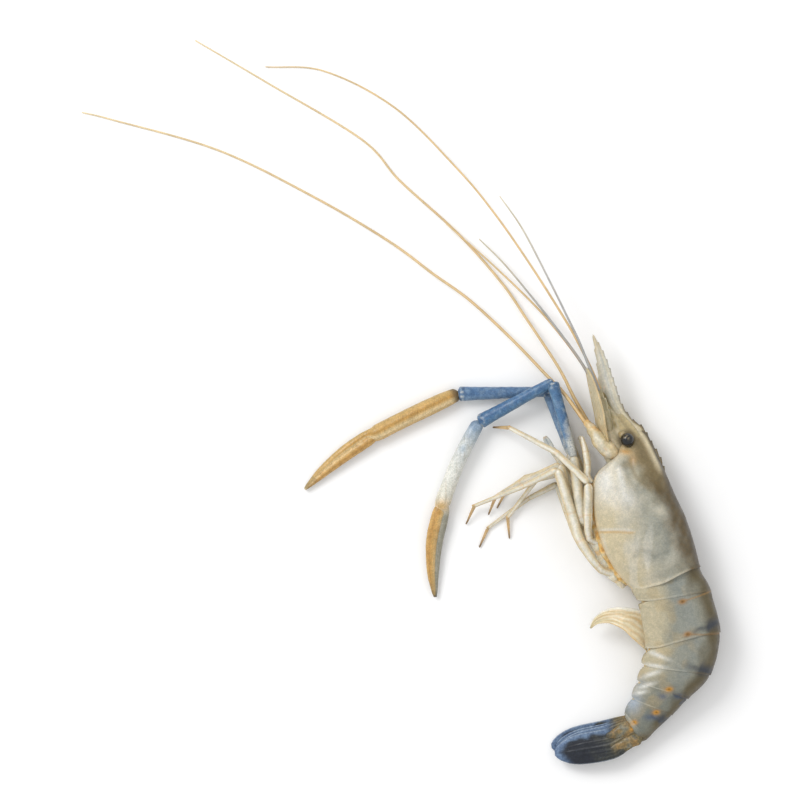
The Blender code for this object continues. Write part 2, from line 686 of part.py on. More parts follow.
def pincer(name, arm, carpus, look):
    """The palm with its fixed finger as one solid, and the moving finger beside it as another."""
    wrist, palm, tip = [Vector(arm[key]) for key in ("wrist", "palm", "tip")]
    ahead = (tip - palm).normalized()
    side = Vector((-ahead.y, ahead.x, 0)).normalized()
    palm_bow, finger_bow = arm["bows"]
    near, far = arm["palm_widths"]
    fixed = []
    for share, width in ((0.0, 0.7), (0.06, 0.95), (0.3, 1.02), (0.65, 1.03), (0.95, 1.0)):
        place = wrist.lerp(palm, share) - side * palm_bow * math.sin(math.pi * share)
        fixed.append((*place, (near + (far - near) * share) * width))
    moving = []
    for share, radius in FINGER:
        middle = palm.lerp(tip, share) - side * finger_bow * math.sin(math.pi * share)
        radius *= arm["finger_width"]
        apart = side * (radius + GAP / 2)
        moving.append((*(middle + apart * arm["moving_side"]), radius))
        fixed.append((*(middle - apart * arm["moving_side"]), radius * 0.96))
    shape = as_mesh(tube(name + "_palm", fixed, look, 10))
    combine(shape, [hollow(carpus)], "DIFFERENCE")
    tube(name + "_finger", moving, look, 10)


def walking_legs():
    """Three pairs, swept forwards under the head, each in two pieces that meet where it folds at the knee."""
    look = material("limb", LIMB_COLOUR, 0.4)
    for (number, word), (place, joints) in WALKING_LEGS.items():
        side = LEFT if word == "left" else RIGHT
        name = f"walking_leg_{number}_{word}"
        knee = LEG_KNEES[number, word]
        jointed_leg(name + "_upper", look, place, side, joints[: knee + 1], 1.1, sides=6)
        upper = [(Vector(joint[:3]), joint[3]) for joint in joints[knee - 1 : knee + 1]]
        lower = as_mesh(tube(name + "_lower", articled(joints[knee:]), look, 6))
        combine(lower, [hollow([(*point, radius) for point, radius in upper])], "DIFFERENCE")


def swimmerets():
    """Five pairs of soft paddles under the tail. The first left one stands out, and the rest lie back."""
    look = material("limb", LIMB_COLOUR, 0.4)
    plate("swimmeret_1_left", RAISED_PADDLE, 0.25, 0.6, look, 0.06, 7, 4)
    for number in range(1, 6):
        for side, word in ((LEFT, "left"), (RIGHT, "right")):
            if (number, side) == (1, LEFT):
                continue
            start = tail_at(number - 0.35)
            end = tail_at(number + 0.4)
            lift = side * (2.6 + 1.05 * (number % 2))
            away = Vector((start[0] - start[2], start[1] - start[3], 0)).normalized()
            later = Vector((end[0] - end[2], end[1] - end[3], 0)).normalized()
            depth = math.dist(start[:2], start[2:4])
            root = Vector((start[0], start[1], 0)) - away * (TAIL_GROOVE * depth - 1.65)
            tip = Vector((end[0], end[1], 0)) + later * 1.15
            low, high = start[5] + lift, end[5] + lift
            middle = (*root.lerp(tip, 0.5).xy, (low + high) / 2)
            spine = [(root.x, root.y, low, 1.0), (*middle, 1.1), (tip.x, tip.y, high, 0.4)]
            plate(f"swimmeret_{number}_{word}", spine, 0.0, 0.55, look, 0.0, 5, 3)


def main():
    clear_scene()
    carapace()
    eyes()
    breast_plate()
    tail_segments()
    tail_fan()
    feelers()
    front_limbs()
    big_claws()
    walking_legs()
    swimmerets()


main()
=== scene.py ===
"""The looks of a whole raw giant river prawn, lying on its right flank on a white surface.

Lengths are in millimetres until a mesh is made. The rows and joints below repeat the part's own numbers, so
that each fine surface keeps the form of the solid it stands for. +Z is up, towards the left flank.
"""

import math

import bmesh
import bpy
import numpy as np
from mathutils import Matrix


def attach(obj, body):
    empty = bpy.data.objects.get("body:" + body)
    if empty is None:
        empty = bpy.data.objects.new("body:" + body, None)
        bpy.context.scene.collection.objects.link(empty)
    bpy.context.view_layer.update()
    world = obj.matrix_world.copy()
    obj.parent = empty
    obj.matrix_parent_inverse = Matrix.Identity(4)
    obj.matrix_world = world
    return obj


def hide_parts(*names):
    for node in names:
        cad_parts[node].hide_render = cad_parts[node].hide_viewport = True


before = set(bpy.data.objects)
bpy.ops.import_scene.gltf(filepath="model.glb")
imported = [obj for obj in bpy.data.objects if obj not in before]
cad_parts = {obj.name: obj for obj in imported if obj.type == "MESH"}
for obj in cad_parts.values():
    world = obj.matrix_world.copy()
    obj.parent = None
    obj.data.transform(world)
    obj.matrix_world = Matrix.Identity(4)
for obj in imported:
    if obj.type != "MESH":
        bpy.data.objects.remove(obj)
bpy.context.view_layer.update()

MM = 0.001
LEFT, RIGHT = 1, -1
SIDES = ((LEFT, "left"), (RIGHT, "right"))
# The lowest that any fine surface reaches, and the height below which the animal's weight flattens it
SURFACE, REST_DEPTH = 0.02, 0.36

# Body sections from front to back: belly edge x, y, back edge x, y, half width, height of the middle plane
SHELL = [
    (-13.5, 27.0, 0.0, 35.0, 4.6, 11.3),
    (-17.2, 20.5, 3.8, 27.5, 7.6, 11.2),
    (-18.6, 13.5, 7.2, 20.0, 9.8, 11.0),
    (-18.3, 5.0, 11.0, 11.0, 11.3, 10.7),
    (-16.6, -3.0, 14.6, 3.5, 11.9, 10.8),
    (-13.2, -11.5, 17.3, -4.5, 11.7, 10.7),
    (-9.0, -18.0, 18.8, -11.0, 11.1, 10.3),
    (-4.5, -23.0, 20.5, -16.5, 10.3, 9.7),
]
TAIL = [
    (-4.1, -23.7, 20.8, -17.4, 9.7, 9.4),
    (-2.0, -28.5, 23.8, -23.5, 10.0, 9.5),
    (0.2, -42.0, 27.2, -38.5, 9.9, 9.4),
    (-0.8, -50.0, 23.6, -54.0, 9.0, 8.5),
    (-2.6, -56.0, 15.6, -62.6, 7.8, 7.3),
    (-4.6, -62.0, 9.8, -68.6, 6.5, 6.1),
    (-7.0, -68.0, 0.5, -77.5, 4.7, 4.5),
]
SEGMENTS = 6
SADDLE = 2
SHELL_EDGE, SHELL_GROOVE = math.radians(150), 0.045
TAIL_EDGE, TAIL_GROOVE = math.radians(142), 0.13
FULLNESS = 0.78

MIDDLE = 11.3  # height of the beak and of the middle between the eyes
ROSTRUM_TIP = (-18.9, 69.5)
ROSTRUM_BACK = [
    (6.2, 24.8), (3.0, 30.2), (-0.9, 35.6), (-4.8, 38.6), (-8.5, 44.0), (-10.7, 50.5), (-14.6, 61.6),
    ROSTRUM_TIP,
]
ROSTRUM_BELLY = [
    (-2.0, 24.0), (-8.0, 33.5), (-11.5, 39.5), (-14.8, 46.0), (-16.4, 52.0), (-17.4, 60.0), ROSTRUM_TIP,
]
ROSTRUM_RIDGE = [
    (-1.0, 26.0, 3.6), (-5.5, 34.0, 2.6), (-11.2, 44.0, 1.6), (-14.4, 54.0, 1.15), (-17.9, 66.5, 0.45),
]
BACK_TEETH, BELLY_TEETH = (18, 0.62), (12, 0.6)  # number along the whole edge, height
EYE, EYE_RADIUS, EYE_OFFSET = (-6.5, 31.2), 2.35, 6.0
EYE_STALK, EYE_STALK_OFFSET = (-10.8, 35.6), 2.3
EYE_STEM = ((0.3, 0.8), (0.5, 1.25), (0.65, 1.75), (0.8, 2.3))  # shares of the way to the globe, radii

BREAST_DEPTH, BREAST_HALF_WIDTH = 2.0, 4.2
BREAST_FIRST, BREAST_LAST = 0.9, 6.7
HIP_OFFSET = 3.3
HIP_CLEARANCE = 0.665

# How fine the meshes are: rows along, steps over the arch, steps under the belly
SHELL_MESH, TAIL_MESH = (180, 64, 10), (52, 56, 12)
WAVES = 18  # how many waves make one uneven relief
HAIR_STEPS, HAIR_SIDES, HAIR_DROOP = 4, 3, 0.15

SPECULAR, COAT_ROUGHNESS = 0.35, 0.18
INSIDE_REACH = 0.0015  # how far light goes under the shell, in metres
EXPOSURE = 1.15  # how much brighter than its own colour an upward face comes out


def shade(display):
    """Linear colour that shows as those display values of 0 to 255 under the studio light."""
    display = np.array(display, float) / 255
    linear = np.where(display <= 0.04045, display / 12.92, ((display + 0.055) / 1.055) ** 2.4)
    return linear / EXPOSURE


CREAM = (206, 197, 174)
IVORY = (214, 199, 164)
MILK = (232, 228, 218)
GREY = (164, 163, 148)
OLIVE = (112, 100, 72)
BROWN = (120, 92, 52)
DARK = (58, 50, 40)
SLATE = (78, 84, 90)
NAVY = (30, 36, 50)
INK = (22, 24, 30)
STEEL = (92, 116, 146)
SKY = (146, 166, 190)
WHITISH = (206, 208, 204)
GOLD = (204, 160, 88)
PALE_GOLD = (224, 190, 132)
DEEP_GOLD = (168, 120, 52)
ORANGE = (222, 158, 60)


# Numbers and curves


def smooth(value, low, high):
    """0 below low and 1 above high, eased between them. low may be the larger."""
    share = np.clip((value - low) / (high - low), 0, 1)
    return share * share * (3 - 2 * share)


def eased_rows(rows):
    """A function of an array of places along the rows: a Catmull-Rom curve through them."""
    rows = np.array(rows, float)
    padded = np.vstack([2 * rows[0] - rows[1], rows, 2 * rows[-1] - rows[-2]])

    def at(place):
        place = np.asarray(place, float)
        first = np.clip(np.floor(place), 0, len(rows) - 2).astype(int)
        t = (place - first)[..., None]
        a, b, c, d = (padded[first + k] for k in range(4))
        bend = (2 * a - 5 * b + 4 * c - d) * t**2 + (3 * b - a - 3 * c + d) * t**3
        return 0.5 * (2 * b + (c - a) * t + bend)

    return at


shell_at = eased_rows(SHELL)
tail_at = eased_rows(TAIL)


def run_along(points):
    """The distance run from the first of the points to each."""
    return np.concatenate([[0], np.cumsum(np.linalg.norm(np.diff(points, axis=0), axis=1))])


def evenly(line, count):
    """That many points at even distances along a smooth curve through the line's points."""
    fine = eased_rows(line)(np.linspace(0, len(line) - 1, 60 * len(line)))
    run = run_along(fine)
    wanted = np.linspace(0, run[-1], count)
    return np.stack([np.interp(wanted, run, fine[:, k]) for k in range(fine.shape[1])], axis=1)


def between(start, end, share):
    """The place that share of the way from the start to the end."""
    return tuple(a + (b - a) * share for a, b in zip(start, end))


def waves(points, size, seed):
    """Soft uneven relief between about -1 and 1, with lumps of about that size in mm."""
    rng = np.random.default_rng(seed)
    total = np.zeros(points.shape[:-1])
    for _ in range(WAVES):
        way = rng.normal(size=3)
        way *= 2 * math.pi / (size * 2 * rng.uniform(0.7, 1.5)) / np.linalg.norm(way)
        total += np.sin(points @ way + rng.uniform(0, 2 * math.pi))
    return total / math.sqrt(WAVES) * 0.9


def patches(points, size, seed):
    """The same relief as a share between about 0 and 1."""
    return 0.5 + 0.5 * waves(points, size, seed)


def peak(value, centre, width):
    """1 where the value is the centre, fading over the width."""
    return np.exp(-(((value - centre) / width) ** 2))


def blunted(value):
    """A sine or cosine whose rise is steeper and whose top is flatter, for a squarish section."""
    return np.sign(value) * np.abs(value) ** 0.7


def stripes(value):
    """Waves between 0 and 1."""
    return 0.5 + 0.5 * np.sin(value)


def off_line(points, line):
    """(distance in the xy plane from a line of points, share of the way along it), both arrays."""
    line = np.array(line, float)
    spot = points[..., :2]
    lengths = np.linalg.norm(np.diff(line, axis=0), axis=1)
    best = np.full(spot.shape[:-1], 1e9)
    where = np.zeros(spot.shape[:-1])
    start = 0.0
    for a, b, length in zip(line, line[1:], lengths):
        share = np.clip(((spot - a) @ (b - a)) / length**2, 0, 1)
        distance = np.linalg.norm(spot - (a + share[..., None] * (b - a)), axis=-1)
        nearer = distance < best
        best = np.where(nearer, distance, best)
        where = np.where(nearer, (start + share * length) / lengths.sum(), where)
        start += length
    return best, where


def along_line(points, line, width):
    """A soft stroke: 1 on the line, fading over the width and towards its two ends."""
    distance, share = off_line(points, line)
    return peak(distance, 0, width) * np.clip(np.minimum(share, 1 - share) * 8, 0, 1)


def spot(points, centre, radii, turn=0.0):
    """A soft oval patch in the xy plane: 1 in its middle."""
    x, y = points[..., 0] - centre[0], points[..., 1] - centre[1]
    c, s = math.cos(math.radians(turn)), math.sin(math.radians(turn))
    across, up = (x * c + y * s) / radii[0], (-x * s + y * c) / radii[1]
    return np.exp(-(across**2 + up**2))


def paint(base, *layers):
    """Linear colours from a display colour and the layers over it, each (display colour, mask)."""
    shape = np.broadcast_shapes(*[np.shape(mask) for _, mask in layers])
    colour = np.broadcast_to(shade(base), (*shape, 3)).copy()
    for over, mask in layers:
        colour += (shade(over) - colour) * np.clip(mask, 0, 1)[..., None]
    return colour


# Meshes


def outward(grid):
    """Unit normals of a grid of points whose columns run round the piece."""
    across = np.roll(grid, -1, axis=1) - np.roll(grid, 1, axis=1)
    normal = np.cross(across, np.gradient(grid, axis=0))
    return normal / np.maximum(np.linalg.norm(normal, axis=-1, keepdims=True), 1e-9)


def rested(height):
    """Heights eased towards the surface where they would sink into it. Lower points stay lower."""
    room = REST_DEPTH - SURFACE
    eased = SURFACE + room * np.exp(np.minimum(height - REST_DEPTH, 0) / room)
    return np.where(height > REST_DEPTH, height, eased)


class Piece:
    """Collects grids of points into one mesh, with a colour and the distance along at each point."""

    def __init__(self):
        self.points, self.colours, self.runs, self.faces = [], [], [], []
        self.count = 0

    def add(self, grid, colour, run=0.0):
        """Rings of points in mm, in rows along the piece, with both ends closed."""
        rows, columns = grid.shape[:2]
        grid = grid.copy()
        grid[..., 2] = rested(grid[..., 2])
        colour = np.broadcast_to(colour, (rows, columns, 3))
        run = np.broadcast_to(run, (rows, columns))
        index = np.arange(rows * columns).reshape(rows, columns) + self.count
        beside = np.roll(index, -1, axis=1)
        quads = np.stack([index[:-1], beside[:-1], beside[1:], index[1:]], axis=-1)
        self.faces += quads.reshape(-1, 4).tolist()
        self.points.append(grid.reshape(-1, 3))
        self.colours.append(colour.reshape(-1, 3))
        self.runs.append(run.reshape(-1))
        self.count += rows * columns
        for row, first in ((0, True), (-1, False)):
            self.points.append(grid[row].mean(0)[None])
            self.colours.append(colour[row].mean(0)[None])
            self.runs.append(run[row].mean(0)[None])
            ring = index[row].tolist()
            for a, b in zip(ring, ring[1:] + ring[:1]):
                self.faces.append((b, a, self.count) if first else (a, b, self.count))
            self.count += 1
        return self

    def make(self, name, nodes, look, slot):
        """The mesh object, standing for the solids with those node names."""
        mesh = bpy.data.meshes.new(name)
        mesh.from_pydata((np.vstack(self.points) * MM).tolist(), [], self.faces)
        colour = mesh.attributes.new("tint", "FLOAT_COLOR", "POINT")
        flat = np.hstack([np.vstack(self.colours), np.ones((self.count, 1))])
        colour.data.foreach_set("color", flat.astype(np.float32).ravel())
        run = mesh.attributes.new("run", "FLOAT", "POINT")
        run.data.foreach_set("value", np.concatenate(self.runs).astype(np.float32))
        work = bmesh.new()
        work.from_mesh(mesh)
        bmesh.ops.recalc_face_normals(work, faces=work.faces)
        work.to_mesh(mesh)
        work.free()
        mesh.shade_smooth()
        made = bpy.data.objects.new(name, mesh)
        bpy.context.scene.collection.objects.link(made)
        mesh.materials.append(look)
        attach(made, "root")
        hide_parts(*nodes)
        return made


def unit(vector):
    return vector / np.linalg.norm(vector)


def sampled(points, spacing):
    """Points (x, y, z, radius) along a smooth curve, evenly spaced in mm, with the distance run at each."""
    at = eased_rows(points)
    fine = at(np.linspace(0, len(points) - 1, 40 * len(points)))
    run = run_along(fine[:, :3])
    count = max(int(run[-1] / spacing), 4)
    wanted = np.linspace(0, run[-1], count + 1)
    return np.stack([np.interp(wanted, run, fine[:, k]) for k in range(4)], axis=1), wanted


def around(path, sides, flat=1.0):
    """Rings of points round a path, and each ring's unit directions. Angle 0 points up."""
    places = path[:, :3]
    ahead = np.gradient(places, axis=0)
    ahead /= np.linalg.norm(ahead, axis=1, keepdims=True)
    up = np.array((0.0, 0.0, 1.0)) - ahead * ahead[:, 2:3]
    up /= np.linalg.norm(up, axis=1, keepdims=True)
    side = np.cross(ahead, up)
    angle = np.linspace(0, 2 * math.pi, sides, endpoint=False)
    way = up[:, None] * (np.cos(angle) * flat)[None, :, None] + side[:, None] * np.sin(angle)[None, :, None]
    return places[:, None] + way * path[:, 3][:, None, None], way, angle


def add_rings(piece, path, run, colour_of, sides, flat=1.0, relief=None):
    """The surface of a limb with these places and radii, its colours from colour_of(points, share, angle)."""
    grid, way, angle = around(path, sides, flat)
    share = np.broadcast_to((run / run[-1])[:, None], grid.shape[:2])
    angle = np.broadcast_to(angle, grid.shape[:2])
    if relief is not None:
        grid = grid + way * relief(grid, share, angle)[..., None]
    piece.add(grid, colour_of(grid, share, angle), np.broadcast_to(run[:, None], grid.shape[:2]))
    return piece


def rounded(distance, reach, least=0.01):
    """Shares of a limb's width that round its end off within that reach of it."""
    share = np.clip(distance / max(reach, 1e-6), 0, 1)
    return np.sqrt(np.clip(1 - (1 - share) ** 2, least, 1))


def add_tube(piece, points, colour_of, spacing, sides, flat=1.0, relief=None, ends=(0.6, 0.6)):
    """A tube through (x, y, z, radius), with ends rounded over these shares of their widths."""
    path, run = sampled(points, spacing)
    for end, distance, radius in ((ends[0], run, path[0, 3]), (ends[1], run[-1] - run, path[-1, 3])):
        if end:
            path[:, 3] *= rounded(distance, end * radius * 2, 0.0025)
    return add_rings(piece, path, run, colour_of, sides, flat, relief)


def article_radius(run, length, near, far, neck, flare):
    """Radius along one hard piece of a limb: a narrow neck, a long barrel and a flared end."""
    barrel = near + (far - near) * run / length
    opening = smooth(run, 0, near * 1.6)
    closing = smooth(run, length - far * 2.6, length - far * 0.9)
    return barrel * (neck + (1 - neck) * opening) * (1 + (flare - 1) * closing)


def add_article(piece, points, colour_of, spacing, sides, neck, flare, flat=1.0, relief=None):
    """One hard piece of a limb, along a smooth curve through (x, y, z, radius)."""
    path, run = sampled(points, spacing)
    length, near, far = run[-1], path[0, 3], path[-1, 3]
    path[:, 3] *= article_radius(run, length, near, far, neck, flare) / (near + (far - near) * run / length)
    for distance, radius in ((run, near), (length - run, far)):
        path[:, 3] *= rounded(distance, radius * 0.5)
    return add_rings(piece, path, run, colour_of, sides, flat, relief)


def add_leg(piece, joints, colour_of, seed=0, sides=20, flat=0.86, spacing=0.28, dip=0.13):
    """A limb through (x, y, z, radius) as one smooth surface, a little narrower at each joint."""
    joints = [np.array(joint, float) for joint in joints]
    points = [joints[0]]
    for before, joint, after in zip(joints, joints[1:], joints[2:]):
        for other in (before, after):
            reach = min(1.3 * joint[3] / np.linalg.norm(other[:3] - joint[:3]), 0.4)
            points.append(joint + (other - joint) * reach)
    points.append(joints[-1])
    path, run = sampled(points, spacing)
    width = path[:, 3].copy()

    def run_to(joint):
        return run[np.argmin(np.linalg.norm(path[:, :3] - joint[:3], axis=1))]

    for joint in joints[1:-1]:
        off = (run - run_to(joint)) / joint[3]
        width *= 1 - dip * peak(off, 0, 0.35) + dip * 0.6 * peak(off, -0.9, 0.5)
    for distance, radius in ((run, joints[0][3]), (run[-1] - run, joints[-1][3])):
        width *= rounded(distance, radius * 1.2)
    path[:, 3] = width
    ends = np.array([run_to(joint) for joint in joints])

    def tinted(grid, share, angle):
        number = np.clip(np.searchsorted(ends, share * run[-1], side="right") - 1, 0, len(joints) - 2)
        starts, stops = ends[number], ends[number + 1]
        along = np.clip((share * run[-1] - starts) / np.maximum(stops - starts, 0.1), 0, 1)
        return colour_of(grid, along, angle, number)

    def relief(grid, share, angle):
        return path[:, 3][:, None] * (0.02 * waves(grid, 2.4, 110 + seed) + 0.08 * np.cos(3 * angle + seed))

    return add_rings(piece, path, run, tinted, sides, flat, relief)


def hairs(name, node, slot, rows, radius, colour, seed):
    """Fine tapered hairs, each bent a little, from rows of (root, way, length) in mm."""
    rng = np.random.default_rng(seed)
    share = np.linspace(0, 1, HAIR_STEPS)
    piece = Piece()
    for root, way, length in rows:
        way = unit(np.array(way, float))
        bend = unit(np.cross(way, rng.normal(size=3)))
        path = root + way * (share * length)[:, None] + bend * (HAIR_DROOP * length * share**2)[:, None]
        first = unit(np.cross(way, bend + 0.01))
        second = np.cross(way, first)
        turn = np.arange(HAIR_SIDES) * 2 * math.pi / HAIR_SIDES
        ring = first * np.cos(turn)[:, None] + second * np.sin(turn)[:, None]
        width = radius * (1 - 0.85 * share)
        piece.add(path[:, None] + ring[None] * width[:, None, None], shade(colour))
    piece.make(name, [node], HAIR_LOOK, slot)


# Materials


def finish(
    name,
    roughness=0.4,
    coat=0.2,
    inside=0.2,
    inside_colour=(1.0, 0.75, 0.5),
    mottle=((260, 0.16, 0.05),),
    speckle=None,
    grain=(900, 0.25, 0.1),
    rings=None,
    streaks=None,
):
    """A moist shell material. Its colour is the piece's own tint, made uneven by noise.

    roughness, coat and inside are the shader's own. mottle holds (scale a metre, share, blue shift), speckle
    (scale, size, colour, share), grain the scale, strength and depth in mm of the fine relief, and rings and
    streaks the spacing in mm and share of bands.
    """
    look = bpy.data.materials.new(name)
    look.use_nodes = True
    nodes, links = look.node_tree.nodes, look.node_tree.links
    shader = nodes["Principled BSDF"]
    place = nodes.new("ShaderNodeTexCoord").outputs["Object"]

    def attribute(key, output):
        node = nodes.new("ShaderNodeAttribute")
        node.attribute_name = key
        return node.outputs[output]

    def noise(scale, detail=3.0, rough=0.55, vector=None):
        node = nodes.new("ShaderNodeTexNoise")
        node.inputs["Scale"].default_value = scale
        node.inputs["Detail"].default_value = detail
        node.inputs["Roughness"].default_value = rough
        links.new(vector or place, node.inputs["Vector"])
        return node.outputs["Fac"]

    def spread(value, low, high, to_low=0.0, to_high=1.0):
        node = nodes.new("ShaderNodeMapRange")
        node.interpolation_type = "SMOOTHSTEP"
        for key, number in zip(("From Min", "From Max", "To Min", "To Max"), (low, high, to_low, to_high)):
            node.inputs[key].default_value = number
        links.new(value, node.inputs["Value"])
        return node.outputs["Result"]

    def mixed(factor, under, over, blend="MIX"):
        node = nodes.new("ShaderNodeMix")
        node.data_type = "RGBA"
        node.blend_type = blend
        links.new(factor, node.inputs["Factor"])
        links.new(under, node.inputs["A"])
        if isinstance(over, (tuple, np.ndarray)):
            node.inputs["B"].default_value = (*[float(part) for part in over], 1.0)
        else:
            links.new(over, node.inputs["B"])
        return node.outputs["Result"]

    def maths(operation, first, second):
        node = nodes.new("ShaderNodeMath")
        node.operation = operation
        for socket, value in zip(node.inputs, (first, second)):
            if isinstance(value, (int, float)):
                socket.default_value = value
            else:
                links.new(value, socket)
        return node.outputs["Value"]

    colour = attribute("tint", "Color")
    for scale, share, cool in mottle:
        darker = (1 - share * 1.3, 1 - share * 1.15, 1 - share * (1.25 - 4 * cool))
        lighter = (1 + share * 0.55, 1 + share * 0.5, 1 + share * 0.4)
        patches = noise(scale)
        colour = mixed(spread(patches, 0.62, 0.36), colour, darker, "MULTIPLY")
        colour = mixed(spread(patches, 0.52, 0.72), colour, lighter, "MULTIPLY")
    if speckle:
        scale, size, dot, share = speckle
        cells = nodes.new("ShaderNodeTexVoronoi")
        cells.inputs["Scale"].default_value = scale
        links.new(place, cells.inputs["Vector"])
        dots = spread(cells.outputs["Distance"], size, size * 0.4)
        where = spread(noise(scale * 0.23), 0.45, 0.6, 0.0, share)
        colour = mixed(maths("MULTIPLY", dots, where), colour, shade(dot))
    run = attribute("run", "Fac")
    relief = noise(grain[0], 4.0, 0.6)
    if rings:
        spacing, share = rings
        band = maths("SINE", maths("MULTIPLY", run, 2 * math.pi / spacing), 0.0)
        colour = mixed(spread(band, -0.2, -0.9, 0.0, share), colour, (0.45, 0.38, 0.3), "MULTIPLY")
        relief = maths("ADD", relief, maths("MULTIPLY", band, 0.4))
    if streaks:
        spacing, share = streaks
        parts = nodes.new("ShaderNodeSeparateXYZ")
        links.new(place, parts.inputs["Vector"])
        joined = nodes.new("ShaderNodeCombineXYZ")
        links.new(maths("MULTIPLY", run, 0.02), joined.inputs["X"])
        for axis, key in (("Y", "Z"), ("Z", "X")):
            links.new(maths("MULTIPLY", parts.outputs[key], 1 / (spacing * MM)), joined.inputs[axis])
        strands = noise(1.0, 3.0, 0.6, joined.outputs["Vector"])
        colour = mixed(spread(strands, 0.5, 0.3, 0.0, share), colour, (0.5, 0.42, 0.32), "MULTIPLY")
        relief = maths("ADD", relief, maths("MULTIPLY", strands, 0.5))
    links.new(colour, shader.inputs["Base Color"])
    bump = nodes.new("ShaderNodeBump")
    bump.inputs["Strength"].default_value = grain[1]
    bump.inputs["Distance"].default_value = grain[2] * MM
    links.new(relief, bump.inputs["Height"])
    links.new(bump.outputs["Normal"], shader.inputs["Normal"])
    uneven = spread(noise(420), 0.3, 0.7, roughness - 0.1, roughness + 0.12)
    links.new(uneven, shader.inputs["Roughness"])
    shader.inputs["Specular IOR Level"].default_value = SPECULAR
    shader.inputs["Coat Weight"].default_value = coat
    shader.inputs["Coat Roughness"].default_value = COAT_ROUGHNESS
    shader.inputs["Subsurface Weight"].default_value = inside
    shader.inputs["Subsurface Radius"].default_value = inside_colour
    shader.inputs["Subsurface Scale"].default_value = INSIDE_REACH
    return look


SHELL_LOOK = finish(
    "moist_shell", 0.4, 0.1, 0.22,
    mottle=((150, 0.05, 0.04), (700, 0.08, 0.04), (2200, 0.1, 0.03)),
    speckle=(1500, 0.13, SLATE, 0.3), grain=(1500, 0.14, 0.06),
)
MEMBRANE_LOOK = finish(
    "moist_membrane", 0.36, 0.3, 0.35,
    mottle=((300, 0.1, 0.0), (1100, 0.12, 0.0)), grain=(900, 0.4, 0.2),
)
LIMB_LOOK = finish(
    "moist_limb", 0.36, 0.3, 0.35,
    mottle=((380, 0.07, 0.02), (1500, 0.08, 0.0)), grain=(1600, 0.22, 0.07),
)
ARM_LOOK = finish(
    "blue_arm", 0.42, 0.2, 0.05, mottle=((600, 0.14, 0.05), (2200, 0.24, 0.05)),
    speckle=(2300, 0.22, SKY, 0.55), grain=(2400, 0.45, 0.1),
)
CLAW_LOOK = finish(
    "golden_claw", 0.42, 0.2, 0.05, mottle=((500, 0.1, 0.0), (2000, 0.14, 0.0)),
    grain=(2200, 0.4, 0.1), streaks=(0.9, 0.4),
)
WHIP_LOOK = finish(
    "feeler", 0.42, 0.15, 0.15, mottle=((200, 0.1, 0.0),), grain=(2500, 0.3, 0.05), rings=(0.8, 0.12),
)
FAN_LOOK = finish(
    "tail_fan", 0.4, 0.06, 0.0, mottle=((300, 0.2, 0.1), (1200, 0.25, 0.06)),
    speckle=(1700, 0.2, STEEL, 0.5), grain=(1500, 0.45, 0.12),
)
HAIR_LOOK = finish("hair", 0.5, 0.0, 0.2, mottle=((600, 0.1, 0.0),), grain=(3000, 0.1, 0.02))
EYE_LOOK = finish("eye", 0.2, 0.25, 0.0, mottle=((900, 0.3, 0.0),), grain=(5200, 0.12, 0.03))


# Body shell


def half_profile(edge, groove, arch, belly):
    """(height, width) shares of a half section, from the back over the flank to the middle of the belly."""
    low = math.cos(edge)
    angle = edge * np.linspace(0, 1, arch + 1)
    height = (np.cos(angle) - low) / (1 - low)
    width = np.sin(angle) ** FULLNESS
    width[0] = 0.0
    inward = np.linspace(0, 1, belly + 1)[1:]
    height = np.concatenate([height, groove * smooth(inward, 0.0, 0.4)])
    width = np.concatenate([width, width[-1] * (1 - inward)])
    return np.concatenate([height, height[-2:0:-1]]), np.concatenate([width, -width[-2:0:-1]])


def section(rows_at, place, height, width, swell):
    """Points of body sections. place, height and width are arrays that fit together."""
    belly_x, belly_y, back_x, back_y, half, middle = np.moveaxis(rows_at(place), -1, 0)
    share = 0.5 + (height - 0.5) * swell
    x = belly_x + (back_x - belly_x) * share
    y = belly_y + (back_y - belly_y) * share
    z = middle + width * half * swell
    return np.stack(np.broadcast_arrays(x, y, z), axis=-1)


def body_normals(grid, width):
    """Unit normals of a grid of body sections, pointing out of the body."""
    normal = outward(grid)
    return normal if (normal[..., 2] * np.sign(width)[None]).mean() > 0 else -normal


NAPE_NARROWING = 0.48  # how far the head shell narrows towards the beak at its upper front end
# Where the head shell starts along its rows, at even steps from its belly edge to its back
front_of = eased_rows([(1.15,), (0.75,), (0.15,), (0.5,), (0.0,), (0.0,)])


